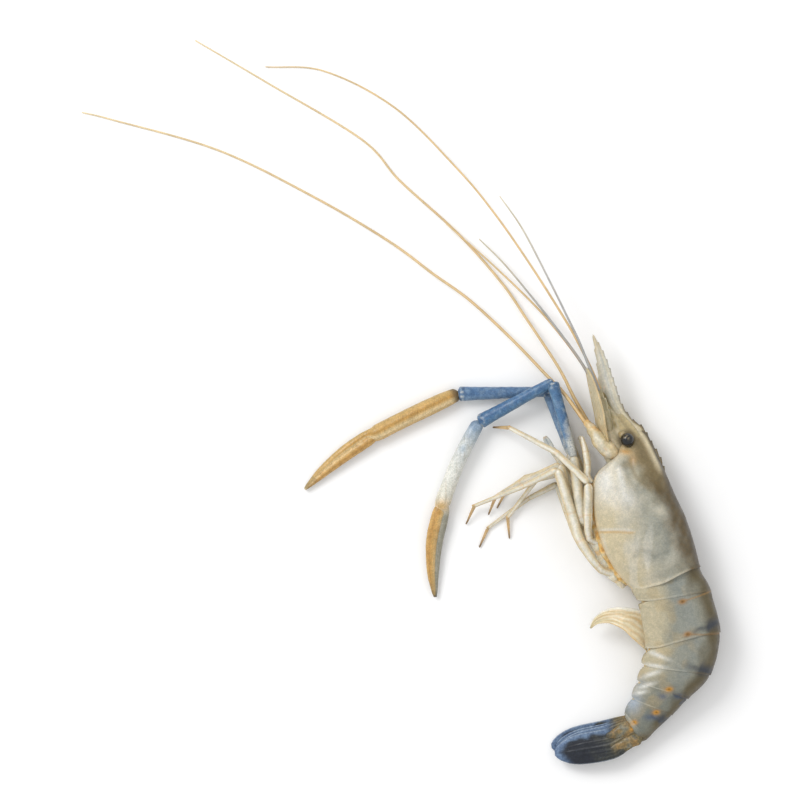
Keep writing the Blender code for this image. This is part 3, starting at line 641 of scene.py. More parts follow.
def head_shell():
    """The carapace, with its rims, folds and spines."""
    rows, arch, belly = SHELL_MESH
    height, width = half_profile(SHELL_EDGE, SHELL_GROOVE, arch, belly)
    start = front_of(np.clip(height, 0, 1) * 5)[..., 0]
    end = len(SHELL) - 0.9 - 0.4 * smooth(height, 0.35, 0.92)
    share = np.linspace(0, 1, rows)[:, None]
    place = start + (end - start) * share
    swell = 1 - 0.1 * smooth(share, 0.05, 0.0) + 0.0 * place
    grid = section(shell_at, place, height[None], width[None], swell)
    nape = smooth(grid[..., 1], 19, 31) * smooth(height, 0.6, 1.0)[None]
    grid[..., 2] += (MIDDLE - grid[..., 2]) * NAPE_NARROWING * nape
    normal = body_normals(grid, width)
    above = np.broadcast_to(height[None], grid.shape[:2])
    flank = smooth(np.abs(np.broadcast_to(width[None], grid.shape[:2])), 0.15, 0.45)

    hepatic = along_line(grid, [(-17.6, -2.2), (-10.0, -2.0), (-3.4, -2.4)], 0.42)
    hepatic_light = along_line(grid, [(-17.2, -1.4), (-10.0, -1.2), (-3.6, -1.6)], 0.5)
    cheek = along_line(grid, [(-7.6, 23.4), (-5.8, 18.6), (-4.2, 14.4), (-0.8, 12.0), (3.0, 9.8)], 1.3)
    cheek_fold = along_line(grid, [(-9.6, 22.6), (-8.6, 16.8), (-7.4, 11.4), (-4.6, 7.4)], 1.5)
    temple = along_line(grid, [(-5.4, 26.2), (-4.9, 21.8), (-3.4, 18.2), (-0.6, 15.6), (3.5, 12.0)], 1.0)
    gill_ridge = along_line(grid, [(1.0, 7.8), (7.4, 4.6), (11.0, -2.0), (11.4, -9.0), (8.0, -15.8)], 1.8)
    gill_dent = along_line(grid, [(-3.4, 4.2), (3.6, 2.6), (8.2, -3.0), (8.8, -9.0), (5.4, -13.6)], 1.7)
    gill_inner = along_line(grid, [(-4.6, -12.5), (-2.0, -8.6), (1.4, -9.2), (4.0, -12.4)], 1.1)
    heart_fold = along_line(grid, [(8.4, 8.0), (12.2, -1.0), (14.4, -8.0), (14.6, -13.5)], 1.4)
    lower_rim = smooth(above, 0.035, 0.012) * smooth(np.abs(width)[None], 0.3, 0.42)
    along = share + 0 * above
    rear_rim = smooth(along, 0.975, 0.988)
    rear_groove = smooth(along, 0.94, 0.96) - rear_rim
    spine = spot(grid, (-1.2, 13.6), (0.9, 0.9)) ** 2
    crest = along_line(grid, [(-4.5, 36.6), (-0.3, 31.6), (2.4, 26.5), (4.6, 21.5), (6.4, 17.0)], 1.0)
    socket = peak(np.hypot(grid[..., 0] - EYE[0], grid[..., 1] - EYE[1]), 3.1, 0.55)
    relief = 0.1 * waves(grid, 9, 3) + 0.03 * waves(grid, 2.6, 4)
    relief -= flank * (0.16 * hepatic + 0.55 * cheek + 0.45 * temple + 0.42 * gill_dent + 0.16 * heart_fold)
    relief += flank * (0.42 * gill_ridge + 0.55 * cheek_fold - 0.22 * gill_inner + 0.5 * spine + 0.3 * socket)
    relief += 0.3 * flank * crest + 0.18 * lower_rim + 0.1 * rear_rim - 0.06 * rear_groove
    grid = grid + normal * relief[..., None]
    last = place[-1:] + 0.01
    closing = [section(shell_at, last, height[None], width[None], share) for share in (0.985, 0.95)]
    grid = np.concatenate([grid] + closing)

    def longer(mask):
        return np.vstack([mask] + [mask[-1:]] * len(closing))

    above, flank, rear_rim = longer(above), longer(flank), longer(rear_rim)
    x, y = grid[..., 0], grid[..., 1]
    uneven = 0.12 * waves(grid, 5, 11)
    fine = patches(grid, 1.6, 12)
    sweep = waves(grid * np.array((1.0, 0.3, 1.0)), 2.4, 14)
    back = smooth(above + 0.3 * uneven + 0.02 * (fine - 0.5) + 0.06 * smooth(y, 4, 20), 0.66, 0.93)
    colour = paint(
        CREAM,
        (IVORY, smooth(above + uneven, 0.46, 0.14)),
        ((172, 168, 150), smooth(above + uneven, 0.4, 0.66)),
        # Milky patches at the front and low on the flank: partly the shell's own pale colour, partly painted
        # highlight where the light falls
        (MILK, 0.95 * spot(grid, (-15.0, 16.0), (4.2, 8.0), -8)
            + 0.75 * spot(grid, (-7.0, 9.5), (4.6, 4.6), 30)),
        # Paler along the raised cheek fold: painted highlight on the fold
        (MILK, 0.8 * longer(cheek_fold) * flank),
        # Greyer in the cheek and heart grooves: painted shade in the grooves
        ((168, 164, 148), 0.5 * longer(cheek) * flank + 0.35 * longer(heart_fold) * flank),
        ((158, 160, 150), 0.6 * spot(grid, (3.6, -5.5), (6.0, 9.5), 18)),
        (MILK, 0.34 * smooth(sweep, 0.1, 0.9) * smooth(above, 0.75, 0.45)),
        ((148, 150, 142), 0.26 * smooth(sweep, -0.1, -0.9) * smooth(above, 0.2, 0.5)),
        # Greyer in the gill dent and in the groove just below the spine: painted shade
        ((154, 156, 146), 0.45 * longer(gill_dent) * flank
            + 0.55 * spot(grid, (-0.8, 12.6), (2.6, 1.3), 15)),
        # Paler along the raised gill ridge: painted highlight on the ridge
        ((206, 200, 184), 0.5 * longer(gill_ridge) * flank),
        # Greyer in the inner gill dent: painted shade in the dent
        ((150, 148, 134), 0.35 * longer(gill_inner) * flank),
        ((150, 134, 98), 0.6 * longer(temple) * flank),
        ((150, 134, 98), smooth(above + uneven, 0.5, 0.75) * smooth(y, 10, 24)),
        # Dark band along the back: partly the shell's own olive, partly painted shade on the side turned away
        # from the light
        ((98, 82, 50), back * (0.94 + 0.14 * (fine - 0.5))),
        ((152, 132, 90), 0.65 * back * smooth(y, 10, 22) * smooth(above, 0.99, 0.9)),
        ((128, 96, 50), 0.25 * back * smooth(waves(grid, 0.7, 13), 0.1, 0.9)),
        ((186, 160, 112), 0.9 * spot(grid, (-6.5, 28.6), (5.2, 3.4), -35)),
        (OLIVE, 0.55 * spot(grid, (-2.2, 27.4), (2.2, 4.4), 32)),
        ((230, 214, 180), 0.9 * longer(crest) * flank * smooth(y, 16, 24)),
        (ORANGE, 0.55 * spot(grid, (-7.4, 26.9), (2.0, 0.9), -12)
            + 0.3 * spot(grid, (-4.4, 24.0), (1.2, 1.8), 10)),
        # A dark spot at the front notch, and the darkest strip along the very back edge; that strip is partly
        # the shell's own dark rim, partly painted shade where the shell turns away
        (DARK, 0.85 * spot(grid, (-10.6, 28.2), (1.0, 0.5), -35) * flank
            + 0.55 * smooth(above, 0.93, 0.99)),
        (GOLD, 0.75 * longer(hepatic) * flank),
        (MILK, 0.6 * longer(hepatic_light) * flank),
        ((224, 214, 190), 0.5 * rear_rim * smooth(above, 0.9, 0.7)),
        (PALE_GOLD, 0.55 * smooth(above, 0.03, 0.0)),
        ((210, 196, 166), 0.35 * smooth(x, -2, -12) * smooth(y, -6, -14)),
    )
    Piece().add(grid, colour).make("head_shell", ["carapace"], SHELL_LOOK, "shell")


def crest_height(share, teeth, size):
    """Height of forward-leaning teeth along an edge, fading in from its start and out at its tip."""
    phase = (share * teeth) % 1.0
    rise = np.where(phase < 0.8, (phase / 0.8) ** 1.5, (1 - phase) / 0.2)
    return size * rise * (1 - 0.3 * share) * smooth(share, 1.0, 0.96) * smooth(share, 0.0, 0.12)


def beak():
    """The toothed blade between the eyes, its crest running back onto the head shell."""
    rows, across = 300, 21
    back = evenly([(8.8, 15.2), (7.1, 20.0), (5.4, 24.8), (2.4, 30.0)] + ROSTRUM_BACK[2:], rows)
    belly = evenly([(4.0, 12.0), (0.5, 18.0)] + ROSTRUM_BELLY, rows)
    ridge = evenly([(3.6, 14.0, 3.0), (1.0, 20.0, 3.6)] + ROSTRUM_RIDGE + [(-18.8, 69.3, 0.3)], rows)
    share = np.linspace(0, 1, rows)
    rims = []
    for edge, (teeth, size), way in ((back, BACK_TEETH, 1), (belly, BELLY_TEETH, -1)):
        ahead = np.gradient(edge, axis=0)
        ahead /= np.linalg.norm(ahead, axis=1, keepdims=True)
        normal = np.stack([ahead[:, 1], -ahead[:, 0]], axis=1) * way
        height = crest_height(share, teeth, size) * (smooth(share, 0.5, 0.62) if way < 0 else 1.0)
        rims.append(edge + normal * height[:, None] + ahead * height[:, None] * 0.7)
    level = np.concatenate([np.linspace(-1, 1, across), np.linspace(1, -1, across)[1:-1]])
    grid = np.zeros((rows, len(level), 3))
    for k, t in enumerate(level):
        inner = belly + (back - belly) * (t * 0.97 + 1) / 2
        grid[:, k, :2] = rims[0] if t == 1 else rims[1] if t == -1 else inner
    off = np.linalg.norm(grid[..., :2] - ridge[:, None, :2], axis=-1)
    radius = ridge[:, 2][:, None]
    lean = np.abs(level)[None]
    keel = np.sqrt(np.clip(1 - (off / (radius * 1.15)) ** 2, 0, 1))
    thick = 0.3 + 0.4 * (1 - lean**2) + 0.85 * radius * keel
    thick = thick * np.where(lean > 0.999, 0.25, 1.0) * smooth(share, 1.02, 0.9)[:, None]
    side = np.array([1.0] * across + [-1.0] * (across - 2))[None]
    grid[..., 2] = MIDDLE + thick * side + 0.05 * waves(grid, 1.6, 20) * side
    y, t = grid[..., 1], np.broadcast_to(level[None], grid.shape[:2])
    far = smooth(y, 36, 50)
    patch = patches(grid, 1.7, 21)
    streak = stripes(t * 15 + 3 * patch)
    colour = paint(
        (186, 170, 130),
        ((216, 202, 168), 0.6 * streak),
        ((136, 116, 76), 0.4 * smooth(patch, 0.5, 0.95)),
        ((236, 230, 212), 0.95 * far),
        ((178, 182, 182), 0.5 * far * peak(t, 0.1, 0.3)),
        ((226, 224, 214), 0.6 * far * smooth(streak, 0.4, 1.0)),
        ((238, 224, 192), (1 - 0.6 * far) * peak(t, 0.55, 0.24) * smooth(y, 16, 24)),
        ((112, 94, 60), smooth(t, 0.84, 0.97) * (1 - 0.75 * far)),
        (DARK, 0.7 * smooth(t, 0.94, 1.0) * (1 - 0.6 * far)),
        ((214, 196, 160), 0.8 * smooth(y, 60, 68)),
        ((222, 208, 176), 0.6 * smooth(t, -0.6, -0.95) * far),
    )
    Piece().add(grid, colour).make("beak", ["carapace"], SHELL_LOOK, "shell")
    rng = np.random.default_rng(5)
    bristles = []
    for edge, way, first, number in ((back, 1, 0.45, 130), (belly, -1, 0.5, 110)):
        for t in rng.uniform(first, 0.98, number):
            k = int(t * (rows - 1))
            ahead = unit(edge[min(k + 2, rows - 1)] - edge[max(k - 2, 0)])
            normal = np.array((ahead[1], -ahead[0])) * way
            root = np.array((*edge[k], MIDDLE + rng.uniform(-0.2, 0.2)))
            way_out = (*(ahead * 1.6 + normal), rng.uniform(-0.4, 0.4))
            bristles.append((root, way_out, rng.uniform(0.5, 1.0)))
    hairs("beak_hairs", "carapace", "shell", bristles, 0.035, (228, 220, 200), 6)


# The soft front of the head between the beak, the eyes and the feelers, in rows like the body's
FACE = [
    (-13.2, 22.0, 0.5, 28.5, 4.2, 11.3),
    (-15.2, 26.5, -1.2, 32.5, 4.6, 11.3),
    (-17.0, 31.5, -4.2, 36.4, 4.6, 11.3),
    (-17.4, 36.6, -7.6, 40.2, 3.2, 11.3),
    (-17.6, 41.5, -10.8, 43.6, 1.7, 11.3),
    (-17.8, 45.5, -13.8, 46.8, 0.9, 11.3),
    (-18.0, 48.5, -15.8, 49.1, 0.4, 11.3),
]


def face():
    """Fleshy folds that carry the eyes and feelers, cream below and olive round the eyes."""
    turn = np.linspace(0, 2 * math.pi, 72, endpoint=False)
    height = 0.5 + 0.5 * np.cos(turn)
    width = blunted(np.sin(turn))
    place = np.linspace(0, len(FACE) - 1, 130)[:, None]
    end = np.sqrt(np.clip(1 - smooth(place, 5.2, 6.0) ** 2, 0.02, 1))
    grid = section(eased_rows(FACE), place, height[None], width[None], end + 0 * height[None])
    normal = body_normals(grid, width)
    above = np.broadcast_to(height[None], grid.shape[:2])
    fold = np.cos(above * 2 * math.pi * 3.1 + 0.35 * waves(grid, 6, 25))
    grid = grid + normal * (0.32 * fold + 0.16 * waves(grid, 2.2, 26))[..., None]
    y = grid[..., 1]
    ring = np.hypot(grid[..., 0] - EYE[0], y - EYE[1])
    patch = patches(grid, 1.8, 27)
    colour = paint(
        (222, 206, 170),
        ((192, 174, 132), smooth(above + 0.2 * (patch - 0.5), 0.4, 0.7)),
        # Paler on the crests of the folds and darker in their troughs: painted highlight and painted shade
        # following the relief
        ((224, 214, 190), 0.7 * smooth(fold, 0.3, 1.0) * smooth(above, 0.55, 0.25)),
        ((152, 132, 92), 0.4 * smooth(fold, -0.2, -1.0)),
        ((96, 80, 52), 0.8 * smooth(ring, 4.6, 2.4)),
        ((214, 204, 180), 0.7 * smooth(patch, 0.62, 0.85) * smooth(y, 38, 44)),
        (ORANGE, 0.35 * spot(grid, (-13.5, 29.5), (2.6, 1.6), -30)),
    )
    Piece().add(grid, colour).make("face", ["carapace"], MEMBRANE_LOOK, "shell")


def eyes():
    """Black globes on short brown stalks."""
    for side, word in SIDES:
        centre = np.array((*EYE, MIDDLE + side * EYE_OFFSET))
        root = np.array((*EYE_STALK, MIDDLE + side * EYE_STALK_OFFSET))
        axis = unit(centre - root)
        across = unit(np.cross(axis, (0.3, 0.2, 1.0)))
        third = np.cross(axis, across)
        tilt = np.linspace(0.03, math.pi - 0.03, 40)[:, None]
        turn = np.linspace(0, 2 * math.pi, 56, endpoint=False)[None]
        ball = centre + EYE_RADIUS * 1.04 * (
            axis * np.cos(tilt)[..., None]
            + across * (np.sin(tilt) * np.cos(turn))[..., None]
            + third * (np.sin(tilt) * np.sin(turn))[..., None]
        )
        behind = np.broadcast_to(tilt, ball.shape[:2])
        gleam = spot(ball, (EYE[0] - 0.3, EYE[1] + 0.9), (1.3, 0.8), -15)
        colour = paint(
            INK,
            ((150, 136, 106), 0.9 * gleam * smooth(patches(ball, 0.7, 29), 0.25, 0.7)),
            ((60, 52, 40), smooth(behind, 1.75, 2.3)),
            (BROWN, smooth(behind, 2.25, 2.5)),
        )
        Piece().add(ball, colour).make(f"eye_{word}_globe", [f"eye_{word}"], EYE_LOOK, "eye")
        stalk = [(*between(root, centre, share), radius) for share, radius in EYE_STEM]

        def stalk_colour(points, share, angle):
            return paint(
                (180, 160, 118), ((70, 58, 42), 0.9 * smooth(share, 0.75, 1.0)),
                (OLIVE, 0.5 * smooth(share, 0.4, 0.0)), (CREAM, 0.4 * smooth(waves(points, 1.5, 9), 0.3, 1)),
            )

        def soft(grid, share, angle):
            return 0.07 * waves(grid, 1.2, 8)

        piece = add_tube(Piece(), stalk, stalk_colour, 0.15, 28, relief=soft)
        piece.make(f"eye_{word}_stem", [f"eye_{word}"], MEMBRANE_LOOK, "eye")


def tail():
    """Six overlapping segments with rounded side flaps, over one soft core."""
    rows, arch, belly = TAIL_MESH
    height, width = half_profile(TAIL_EDGE, TAIL_GROOVE, arch, belly)
    high = np.clip(height, 0, 1)

    def seam(number):
        reach = {SADDLE - 1: -0.1, SADDLE: 0.35}.get(number, 0.12 if 0 < number < SEGMENTS else 0.0)
        return number + reach * (1 - high) ** 2

    notch = 0.15 * np.clip(1 - high / 0.22, 0, 1) ** 2
    for number in range(1, SEGMENTS + 1):
        over = number == SADDLE
        front = seam(number - 1) - (0.05 if over else 0.2) + notch * (0.9 if over else 1.6)
        if number == 1:
            front = front - 0.6
        rear = seam(number) - notch * (number < SEGMENTS)
        share = np.linspace(0, 1, rows)[:, None]
        place = front + (rear - front) * share
        swell = 1.0 + 0.014 * smooth(share, 0.3, 0.95) - 0.02 * smooth(share, 0.03, 0.0)
        swell = swell + (0.012 if over else -0.024) * smooth(share, 0.3, 0.05)
        grid = section(tail_at, place, height[None], width[None], swell + 0 * place)
        normal = body_normals(grid, width)
        above = np.broadcast_to(height[None], grid.shape[:2])
        rim = smooth(share, 0.94, 0.97) + 0 * above
        low = smooth(above, 0.46, 0.12)
        lobe = np.sin(math.pi * np.clip((share - 0.12) / 0.86, 0, 1)) ** 0.8 * low
        relief = 0.08 * waves(grid, 5, 30 + number) + 0.03 * waves(grid, 2, 40 + number)
        relief += 0.08 * (2 * rim - smooth(share, 0.89, 0.93)) * smooth(above, 0.99, 0.9) + 0.34 * lobe
        relief -= 0.15 * peak(above, 0.42, 0.06) * smooth(share, 0.15, 0.35) * smooth(share, 0.98, 0.8)
        grid = grid + normal * relief[..., None]
        last = place[-1:]
        ending = ((0.0, 1.0), (0.0, 0.95))
        if number == SEGMENTS:
            ending = ((0.07, 0.97), (0.13, 0.9), (0.17, 0.78), (0.19, 0.55))
        closing = [section(tail_at, last + on, height[None], width[None], size) for on, size in ending]
        grid = np.concatenate([grid] + closing)
        above = np.vstack([above] + [above[-1:]] * len(ending))
        rim = np.vstack([rim] + [rim[-1:]] * len(ending))
        colour = segment_colour(grid, above, rim, number)
        Piece().add(grid, colour).make(f"segment_{number}", [f"tail_segment_{number}"], SHELL_LOOK, "shell")

    place = np.linspace(-0.8, SEGMENTS - 0.05, 130)[:, None]
    core = section(tail_at, place, height[None], width[None], 0.925 + 0 * place)
    core = core + outward(core) * (0.12 * np.sin(place * 2 * math.pi * 2.0))[..., None]
    colour = paint(
        IVORY, (PALE_GOLD, 0.3 + 0.4 * waves(core, 4, 77)), (GREY, smooth(core[..., 1], -55, -70)),
    )
    Piece().add(core, colour).make("tail_core", ["tail_segment_3"], MEMBRANE_LOOK, "shell")


# Marks on the tail, as x, y in mm: the hinges between segments, darker bands across the back as lines and
# half widths, blue patches and fine lines, and painted highlights on the flaps as centre, radii and turn
HINGES = [(13.4, -27.2), (15.3, -39.0), (8.7, -59.0), (4.1, -67.4), (-4.0, -71.2), (-3.3, -77.4)]
BACK_BANDS = [
    ([(16.5, -38.4), (22.0, -36.4), (30.5, -33.0)], 1.7),
    ([(12.0, -49.6), (18.5, -51.4), (29.0, -54.6)], 1.8),
    ([(9.5, -60.0), (13.0, -62.6), (18.5, -64.6)], 1.5),
    ([(1.0, -68.4), (5.0, -69.6), (11.0, -71.5)], 1.5),
]
BLUE_MARKS = [((6.4, -61.6), (1.6, 1.2)), ((12.2, -61.6), (1.8, 1.1)), ((2.2, -69.2), (2.6, 1.2))]
BACK_LINES = [[(13.4, -27.2), (19.0, -25.4), (28.0, -22.0)], [(15.3, -39.0), (21.0, -39.2), (30.0, -38.6)]]
FLAP_HIGHLIGHTS = [
    ((4.6, -46.6), (4.6, 0.8), -22), ((3.4, -50.4), (4.4, 0.7), -8), ((2.4, -53.4), (3.6, 0.9), 20),
    ((0.6, -57.6), (3.4, 0.8), 18), ((-1.6, -60.2), (2.4, 0.8), 10),
]


def segment_colour(grid, above, rim, number):
    """Colours of a tail segment: grey flanks, a dark back partly of painted shade, pale flaps with painted
    highlights, orange hinges.
    """
    uneven = 0.1 * waves(grid, 4, 50)
    later = smooth(grid[..., 1], -48, -68)
    flank = smooth(above, 0.95, 0.8)
    near_hinge = sum(spot(grid, centre, (1.5, 0.95), 10) for centre in HINGES)
    hinge_core = sum(spot(grid, centre, (1.0, 0.7), 10) for centre in HINGES)
    hinge_eye = sum(spot(grid, centre, (0.42, 0.32), 10) for centre in HINGES)
    nudged = grid + (0.5 * waves(grid, 1.8, 52))[..., None]
    bands = np.zeros(above.shape)
    for line, size in BACK_BANDS:
        bands = np.maximum(bands, 0.7 * along_line(nudged, line, 0.55 * size))
        bands = np.maximum(bands, along_line(nudged, line[1:], 1.15 * size))
    lines = sum(along_line(grid, line, 0.3) for line in BACK_LINES)
    marks = sum(spot(grid, centre, radii) for centre, radii in BLUE_MARKS)
    lights = sum(spot(grid, centre, radii, turn) for centre, radii, turn in FLAP_HIGHLIGHTS)
    return paint(
        (158, 156, 140),
        ((200, 188, 158), smooth(above + uneven, 0.55, 0.12) * (1 - 0.5 * later)),
        ((150, 154, 148), 0.7 * peak(above, 0.6, 0.18) * (1 + 2 * uneven)),
        ((122, 124, 112), later * 0.75),
        ((192, 168, 120), 0.32 * smooth(waves(grid, 3.5, 53), 0.1, 0.8) * smooth(above, 0.85, 0.5)),
        # Dark band along the back: partly the shell's own olive, partly painted shade on the side turned away
        # from the light
        ((100, 88, 58), smooth(above + 0.4 * uneven, 0.7, 0.92)),
        ((172, 184, 198), 0.85 * spot(grid, (-4.2, -63.8), (3.0, 4.2))
            + 0.4 * spot(grid, (-1.5, -57), (2.5, 2))),
        ((62, 67, 76), 0.95 * bands * smooth(above, 0.48, 0.75)),
        ((74, 92, 122), 0.65 * marks * flank),
        # Darkest strip along the very back edge: partly its own dark rim, partly painted shade
        ((64, 56, 44), 0.5 * smooth(above, 0.94, 1.0)),
        # Painted highlights on the flaps
        ((236, 233, 224), 0.9 * lights * smooth(above, 0.62, 0.35)),
        ((170, 128, 70), 0.6 * lines),
        ((186, 132, 52), 0.7 * near_hinge * flank),
        ((228, 160, 38) if number > 3 else (172, 120, 52), 1.05 * hinge_core * flank),
        (DARK, 0.85 * hinge_eye * flank),
        # Along the raised rear rim, a pale line low on the flank and a dark one near the back: painted
        # highlight and painted shade on the rim
        ((216, 210, 192), 0.3 * rim * smooth(above, 0.7, 0.4)),
        ((112, 96, 66), 0.35 * rim * smooth(above, 0.6, 0.8)),
    )


# Fan and leaves


def leaf_grid(spine, roll, rows, columns, cup=0.0, outline=None):
    """A sheet along (x, y, z, half width): points, shares across (-1 to 1) and along (0 to 1), face ways."""
    at = eased_rows(spine)
    last = len(spine) - 1
    share = np.linspace(0, 1, rows)
    place = at(share * last)
    ahead = np.gradient(place[:, :3], axis=0)
    ahead /= np.linalg.norm(ahead, axis=1, keepdims=True)
    level = np.stack([-ahead[:, 1], ahead[:, 0], 0 * ahead[:, 0]], axis=1)
    level /= np.linalg.norm(level, axis=1, keepdims=True)
    up = np.cross(ahead, level)
    side = level * math.cos(roll) + up * math.sin(roll)
    face = np.cross(ahead, side)
    across = np.linspace(-1, 1, columns)
    half = place[:, 3][:, None]
    if outline is not None:
        half = half * outline(share)[:, None]
    grid = place[:, None, :3] + side[:, None] * (across * half)[..., None]
    grid = grid + face[:, None] * (cup * half * (1 - across**2))[..., None]
    over = np.broadcast_to(across, grid.shape[:2])
    along = np.broadcast_to(share[:, None], grid.shape[:2])
    return grid, over, along, np.broadcast_to(face[:, None], grid.shape)


def thin_rim(over):
    """Shares of a sheet's thickness that leave its very rim thin."""
    return np.where(np.abs(over) > 0.999, 0.3, 1.0)


def thick_leaf(piece, grid, face, thickness, colour):
    """Both faces of a sheet, joined at their rims."""
    half = face * (thickness / 2)[..., None]
    ring = np.concatenate([grid + half, (grid - half)[:, ::-1]], axis=1)
    return piece.add(ring, np.concatenate([colour, colour[:, ::-1]], axis=1))


# The telson's spine as x, y, z, half width, and each blade's root, middle, tip, half width and roll
TELSON = [
    (-4.2, -73.6, 4.2, 3.1), (-9.5, -75.8, 3.9, 2.7), (-17.0, -78.2, 3.4, 1.9), (-26.0, -80.2, 2.8, 0.9),
]
BLADES = {
    "left_outer": ((-3.7, -74.2, 7.0), (-13.5, -79.2, 6.5), (-32.4, -82.6, 4.6), 5.7, 0.06),
    "left_inner": ((-4.2, -73.0, 5.8), (-13.5, -77.0, 5.3), (-31.0, -80.9, 3.7), 4.8, 0.06),
    "right_inner": ((-4.6, -72.6, 2.1), (-13.5, -76.4, 1.9), (-31.8, -80.2, 1.4), 4.8, 0.0),
    "right_outer": ((-4.6, -73.0, 1.0), (-13.5, -76.0, 0.9), (-33.6, -80.0, 0.6), 5.6, 0.0),
}


ROUND_FROM = 0.72  # share of a blade's length at which its end starts to close


def round_end(share):
    """Half widths of a blade, as shares: even, then closing in a round end."""
    return np.sqrt(np.clip(1 - np.clip((share - ROUND_FROM) / (1 - ROUND_FROM), 0, 1) ** 2.3, 0.03, 1))


# The fan's fleshy root, as x, y, z, radius, with how flat each lump is
FAN_LUMPS = [
    ([
        (-2.8, -71.6, 6.4, 2.6), (-6.0, -73.4, 6.9, 2.7), (-10.0, -75.0, 6.9, 2.0), (-14.0, -76.4, 6.8, 0.7),
    ], 0.55),
    ([
        (-0.8, -76.0, 6.2, 2.0), (-4.0, -77.6, 6.8, 2.4), (-8.5, -79.4, 6.9, 1.7), (-12.5, -80.8, 6.8, 0.6),
    ], 0.5),
]


def uropod_base(piece):
    """Rounded lumps over the fan's root, mottled orange-brown."""

    def tinted(grid, share, angle):
        patch = patches(grid, 1.5, 64)
        return paint(
            (136, 120, 84),
            ((160, 124, 70), 0.6 * smooth(patch, 0.55, 0.85)),
            ((124, 126, 116), 0.6 * smooth(patch, 0.4, 0.15)),
            ((78, 72, 60), 0.8 * smooth(share, 0.75, 1.0)),
            ((206, 146, 52), 0.75 * spot(grid, (-4.6, -73.4), (0.8, 1.4))),
            ((160, 122, 66), 0.5 * spot(grid, (-4.0, -78.0), (2.0, 1.2))),
        )

    def lumpy(grid, share, angle):
        return 0.12 * waves(grid, 1.4, 65)

    for points, flat in FAN_LUMPS:
        add_tube(piece, points, tinted, 0.25, 28, flat, lumpy)


def fan():
    """The telson and the ribbed, fringed blades beside it, with the fleshy bases that carry them."""
    for word, (root, middle, tip, half, roll) in BLADES.items():
        near, far = between(root, middle, 0.5), between(middle, tip, 0.5)
        shares = ((between(root, middle, -0.12), 0.8), (near, 0.93), (middle, 1.0), (far, 0.97), (tip, 0.8))
        spine = [(*place, half * share) for place, share in shares]
        grid, over, along, face = leaf_grid(spine, roll, 120, 57, 0.04, round_end)
        rib = peak(over, 0.05, 0.06) * smooth(along, 0.96, 0.8)
        second = peak(over, 0.15 * along - 0.42, 0.05) * smooth(along, 0.9, 0.7)
        third = peak(over, 0.5 - 0.2 * along, 0.05) * smooth(along, 0.85, 0.6)
        edge = smooth(np.abs(over), 0.9, 1.0)
        folds = 0.02 * np.sin(over * 40 + 3 * along) * smooth(along, 0.25, 0.5)
        thick = (0.5 + 0.6 * rib + 0.4 * second + 0.3 * third + folds) * (1 - 0.6 * edge) * (1 - 0.3 * along)
        thick = thick * thin_rim(over) + 0.5 * smooth(along, 0.25, 0.0) * (1 - edge)
        outer = word.endswith("outer")
        patch = patches(grid, 2.6, 60)
        streak = stripes(over * 26 + 2.2 * patch)
        colour = paint(
            (28, 34, 46) if outer else (104, 124, 148),
            ((54, 56, 52), smooth(along + 0.25 * (patch - 0.5), 0.72, 0.45)),
            ((124, 108, 70), smooth(along + 0.2 * (patch - 0.5), 0.42, 0.16)),
            ((150, 120, 72), 0.5 * smooth(along, 0.34, 0.2) * smooth(patch, 0.5, 0.8)),
            ((112, 112, 100), 0.25 * smooth(streak, 0.5, 1.0) * smooth(along, 0.8, 0.5)),
            ((48, 50, 48), 0.3 * smooth(streak, 0.5, 0.0) * smooth(along, 0.1, 0.3)),
            # Paler along the raised ribs near the root: painted highlight on the ribs
            ((168, 158, 128), 0.55 * (second + 0.4 * rib) * smooth(along, 0.6, 0.35)),
            ((116, 140, 170), 0.9 * smooth(0.25 * (patch - 0.5) - over, 0.6, 0.85)
                * smooth(along, 0.2, 0.5)),
            ((112, 136, 168), 0.9 * smooth(along + 0.1 * np.abs(over), 0.9, 1.0)),
            ((190, 202, 212), 0.75 * smooth(np.abs(over), 0.93, 1.0) * smooth(along, 0.3, 0.6)),
            ((22, 28, 42), 0.6 * smooth(over, 0, 0.5) * smooth(along, 0.5, 0.7)
                * smooth(along, 0.98, 0.85)),
        )
        piece = thick_leaf(Piece(), grid, face, thick, colour)
        if word == "left_outer":
            uropod_base(piece)
        piece.make(f"blade_{word}", [f"fan_blade_{word}"], FAN_LOOK, "tail_fan")
        fringe(f"blade_{word}_fringe", f"fan_blade_{word}", grid, 0.6, 0.6, 130, 70, (130, 146, 168))
    grid, over, along, face = leaf_grid(TELSON, 0.0, 90, 33, 0.05)
    keel = np.sqrt(np.clip(1 - over**2, 0, 1))
    thick = (0.35 + 1.6 * keel * (1 - 0.55 * along)) * thin_rim(over)
    colour = paint(
        (82, 86, 86),
        ((140, 130, 104), smooth(along, 0.35, 0.0)),
        (NAVY, smooth(along, 0.4, 0.85)),
        (SKY, 0.5 * smooth(np.abs(over), 0.75, 1.0)),
    )
    thick_leaf(Piece(), grid, face, thick, colour).make("telson_plate", ["telson"], FAN_LOOK, "tail_fan")


def fringe(name, node, grid, first, length, number, seed, colour):
    """Fine hairs round the far part of a leaf's rim."""
    rng = np.random.default_rng(seed)
    rows, columns = grid.shape[:2]
    rim = [(grid[k, 0], grid[k, 0] - grid[k, 1]) for k in range(int(first * rows), rows)]
    rim += [(grid[-1, k], grid[-1, k] - grid[-3, k]) for k in range(4, columns - 4, 12)]
    rim += [(grid[k, -1], grid[k, -1] - grid[k, -2]) for k in range(int(first * rows), rows)]
    ahead = unit(grid[-1, columns // 2] - grid[rows // 2, columns // 2])
    bristles = []
    for k in rng.integers(0, len(rim), number):
        root, away = rim[k]
        way = unit(away) * 0.6 + ahead * 1.2 + rng.normal(size=3) * 0.12
        bristles.append((root - unit(away) * 0.2, way, length * rng.uniform(0.6, 1.1)))
    hairs(name, node, "pale_limb", bristles, 0.05, colour, seed)


# Feelers

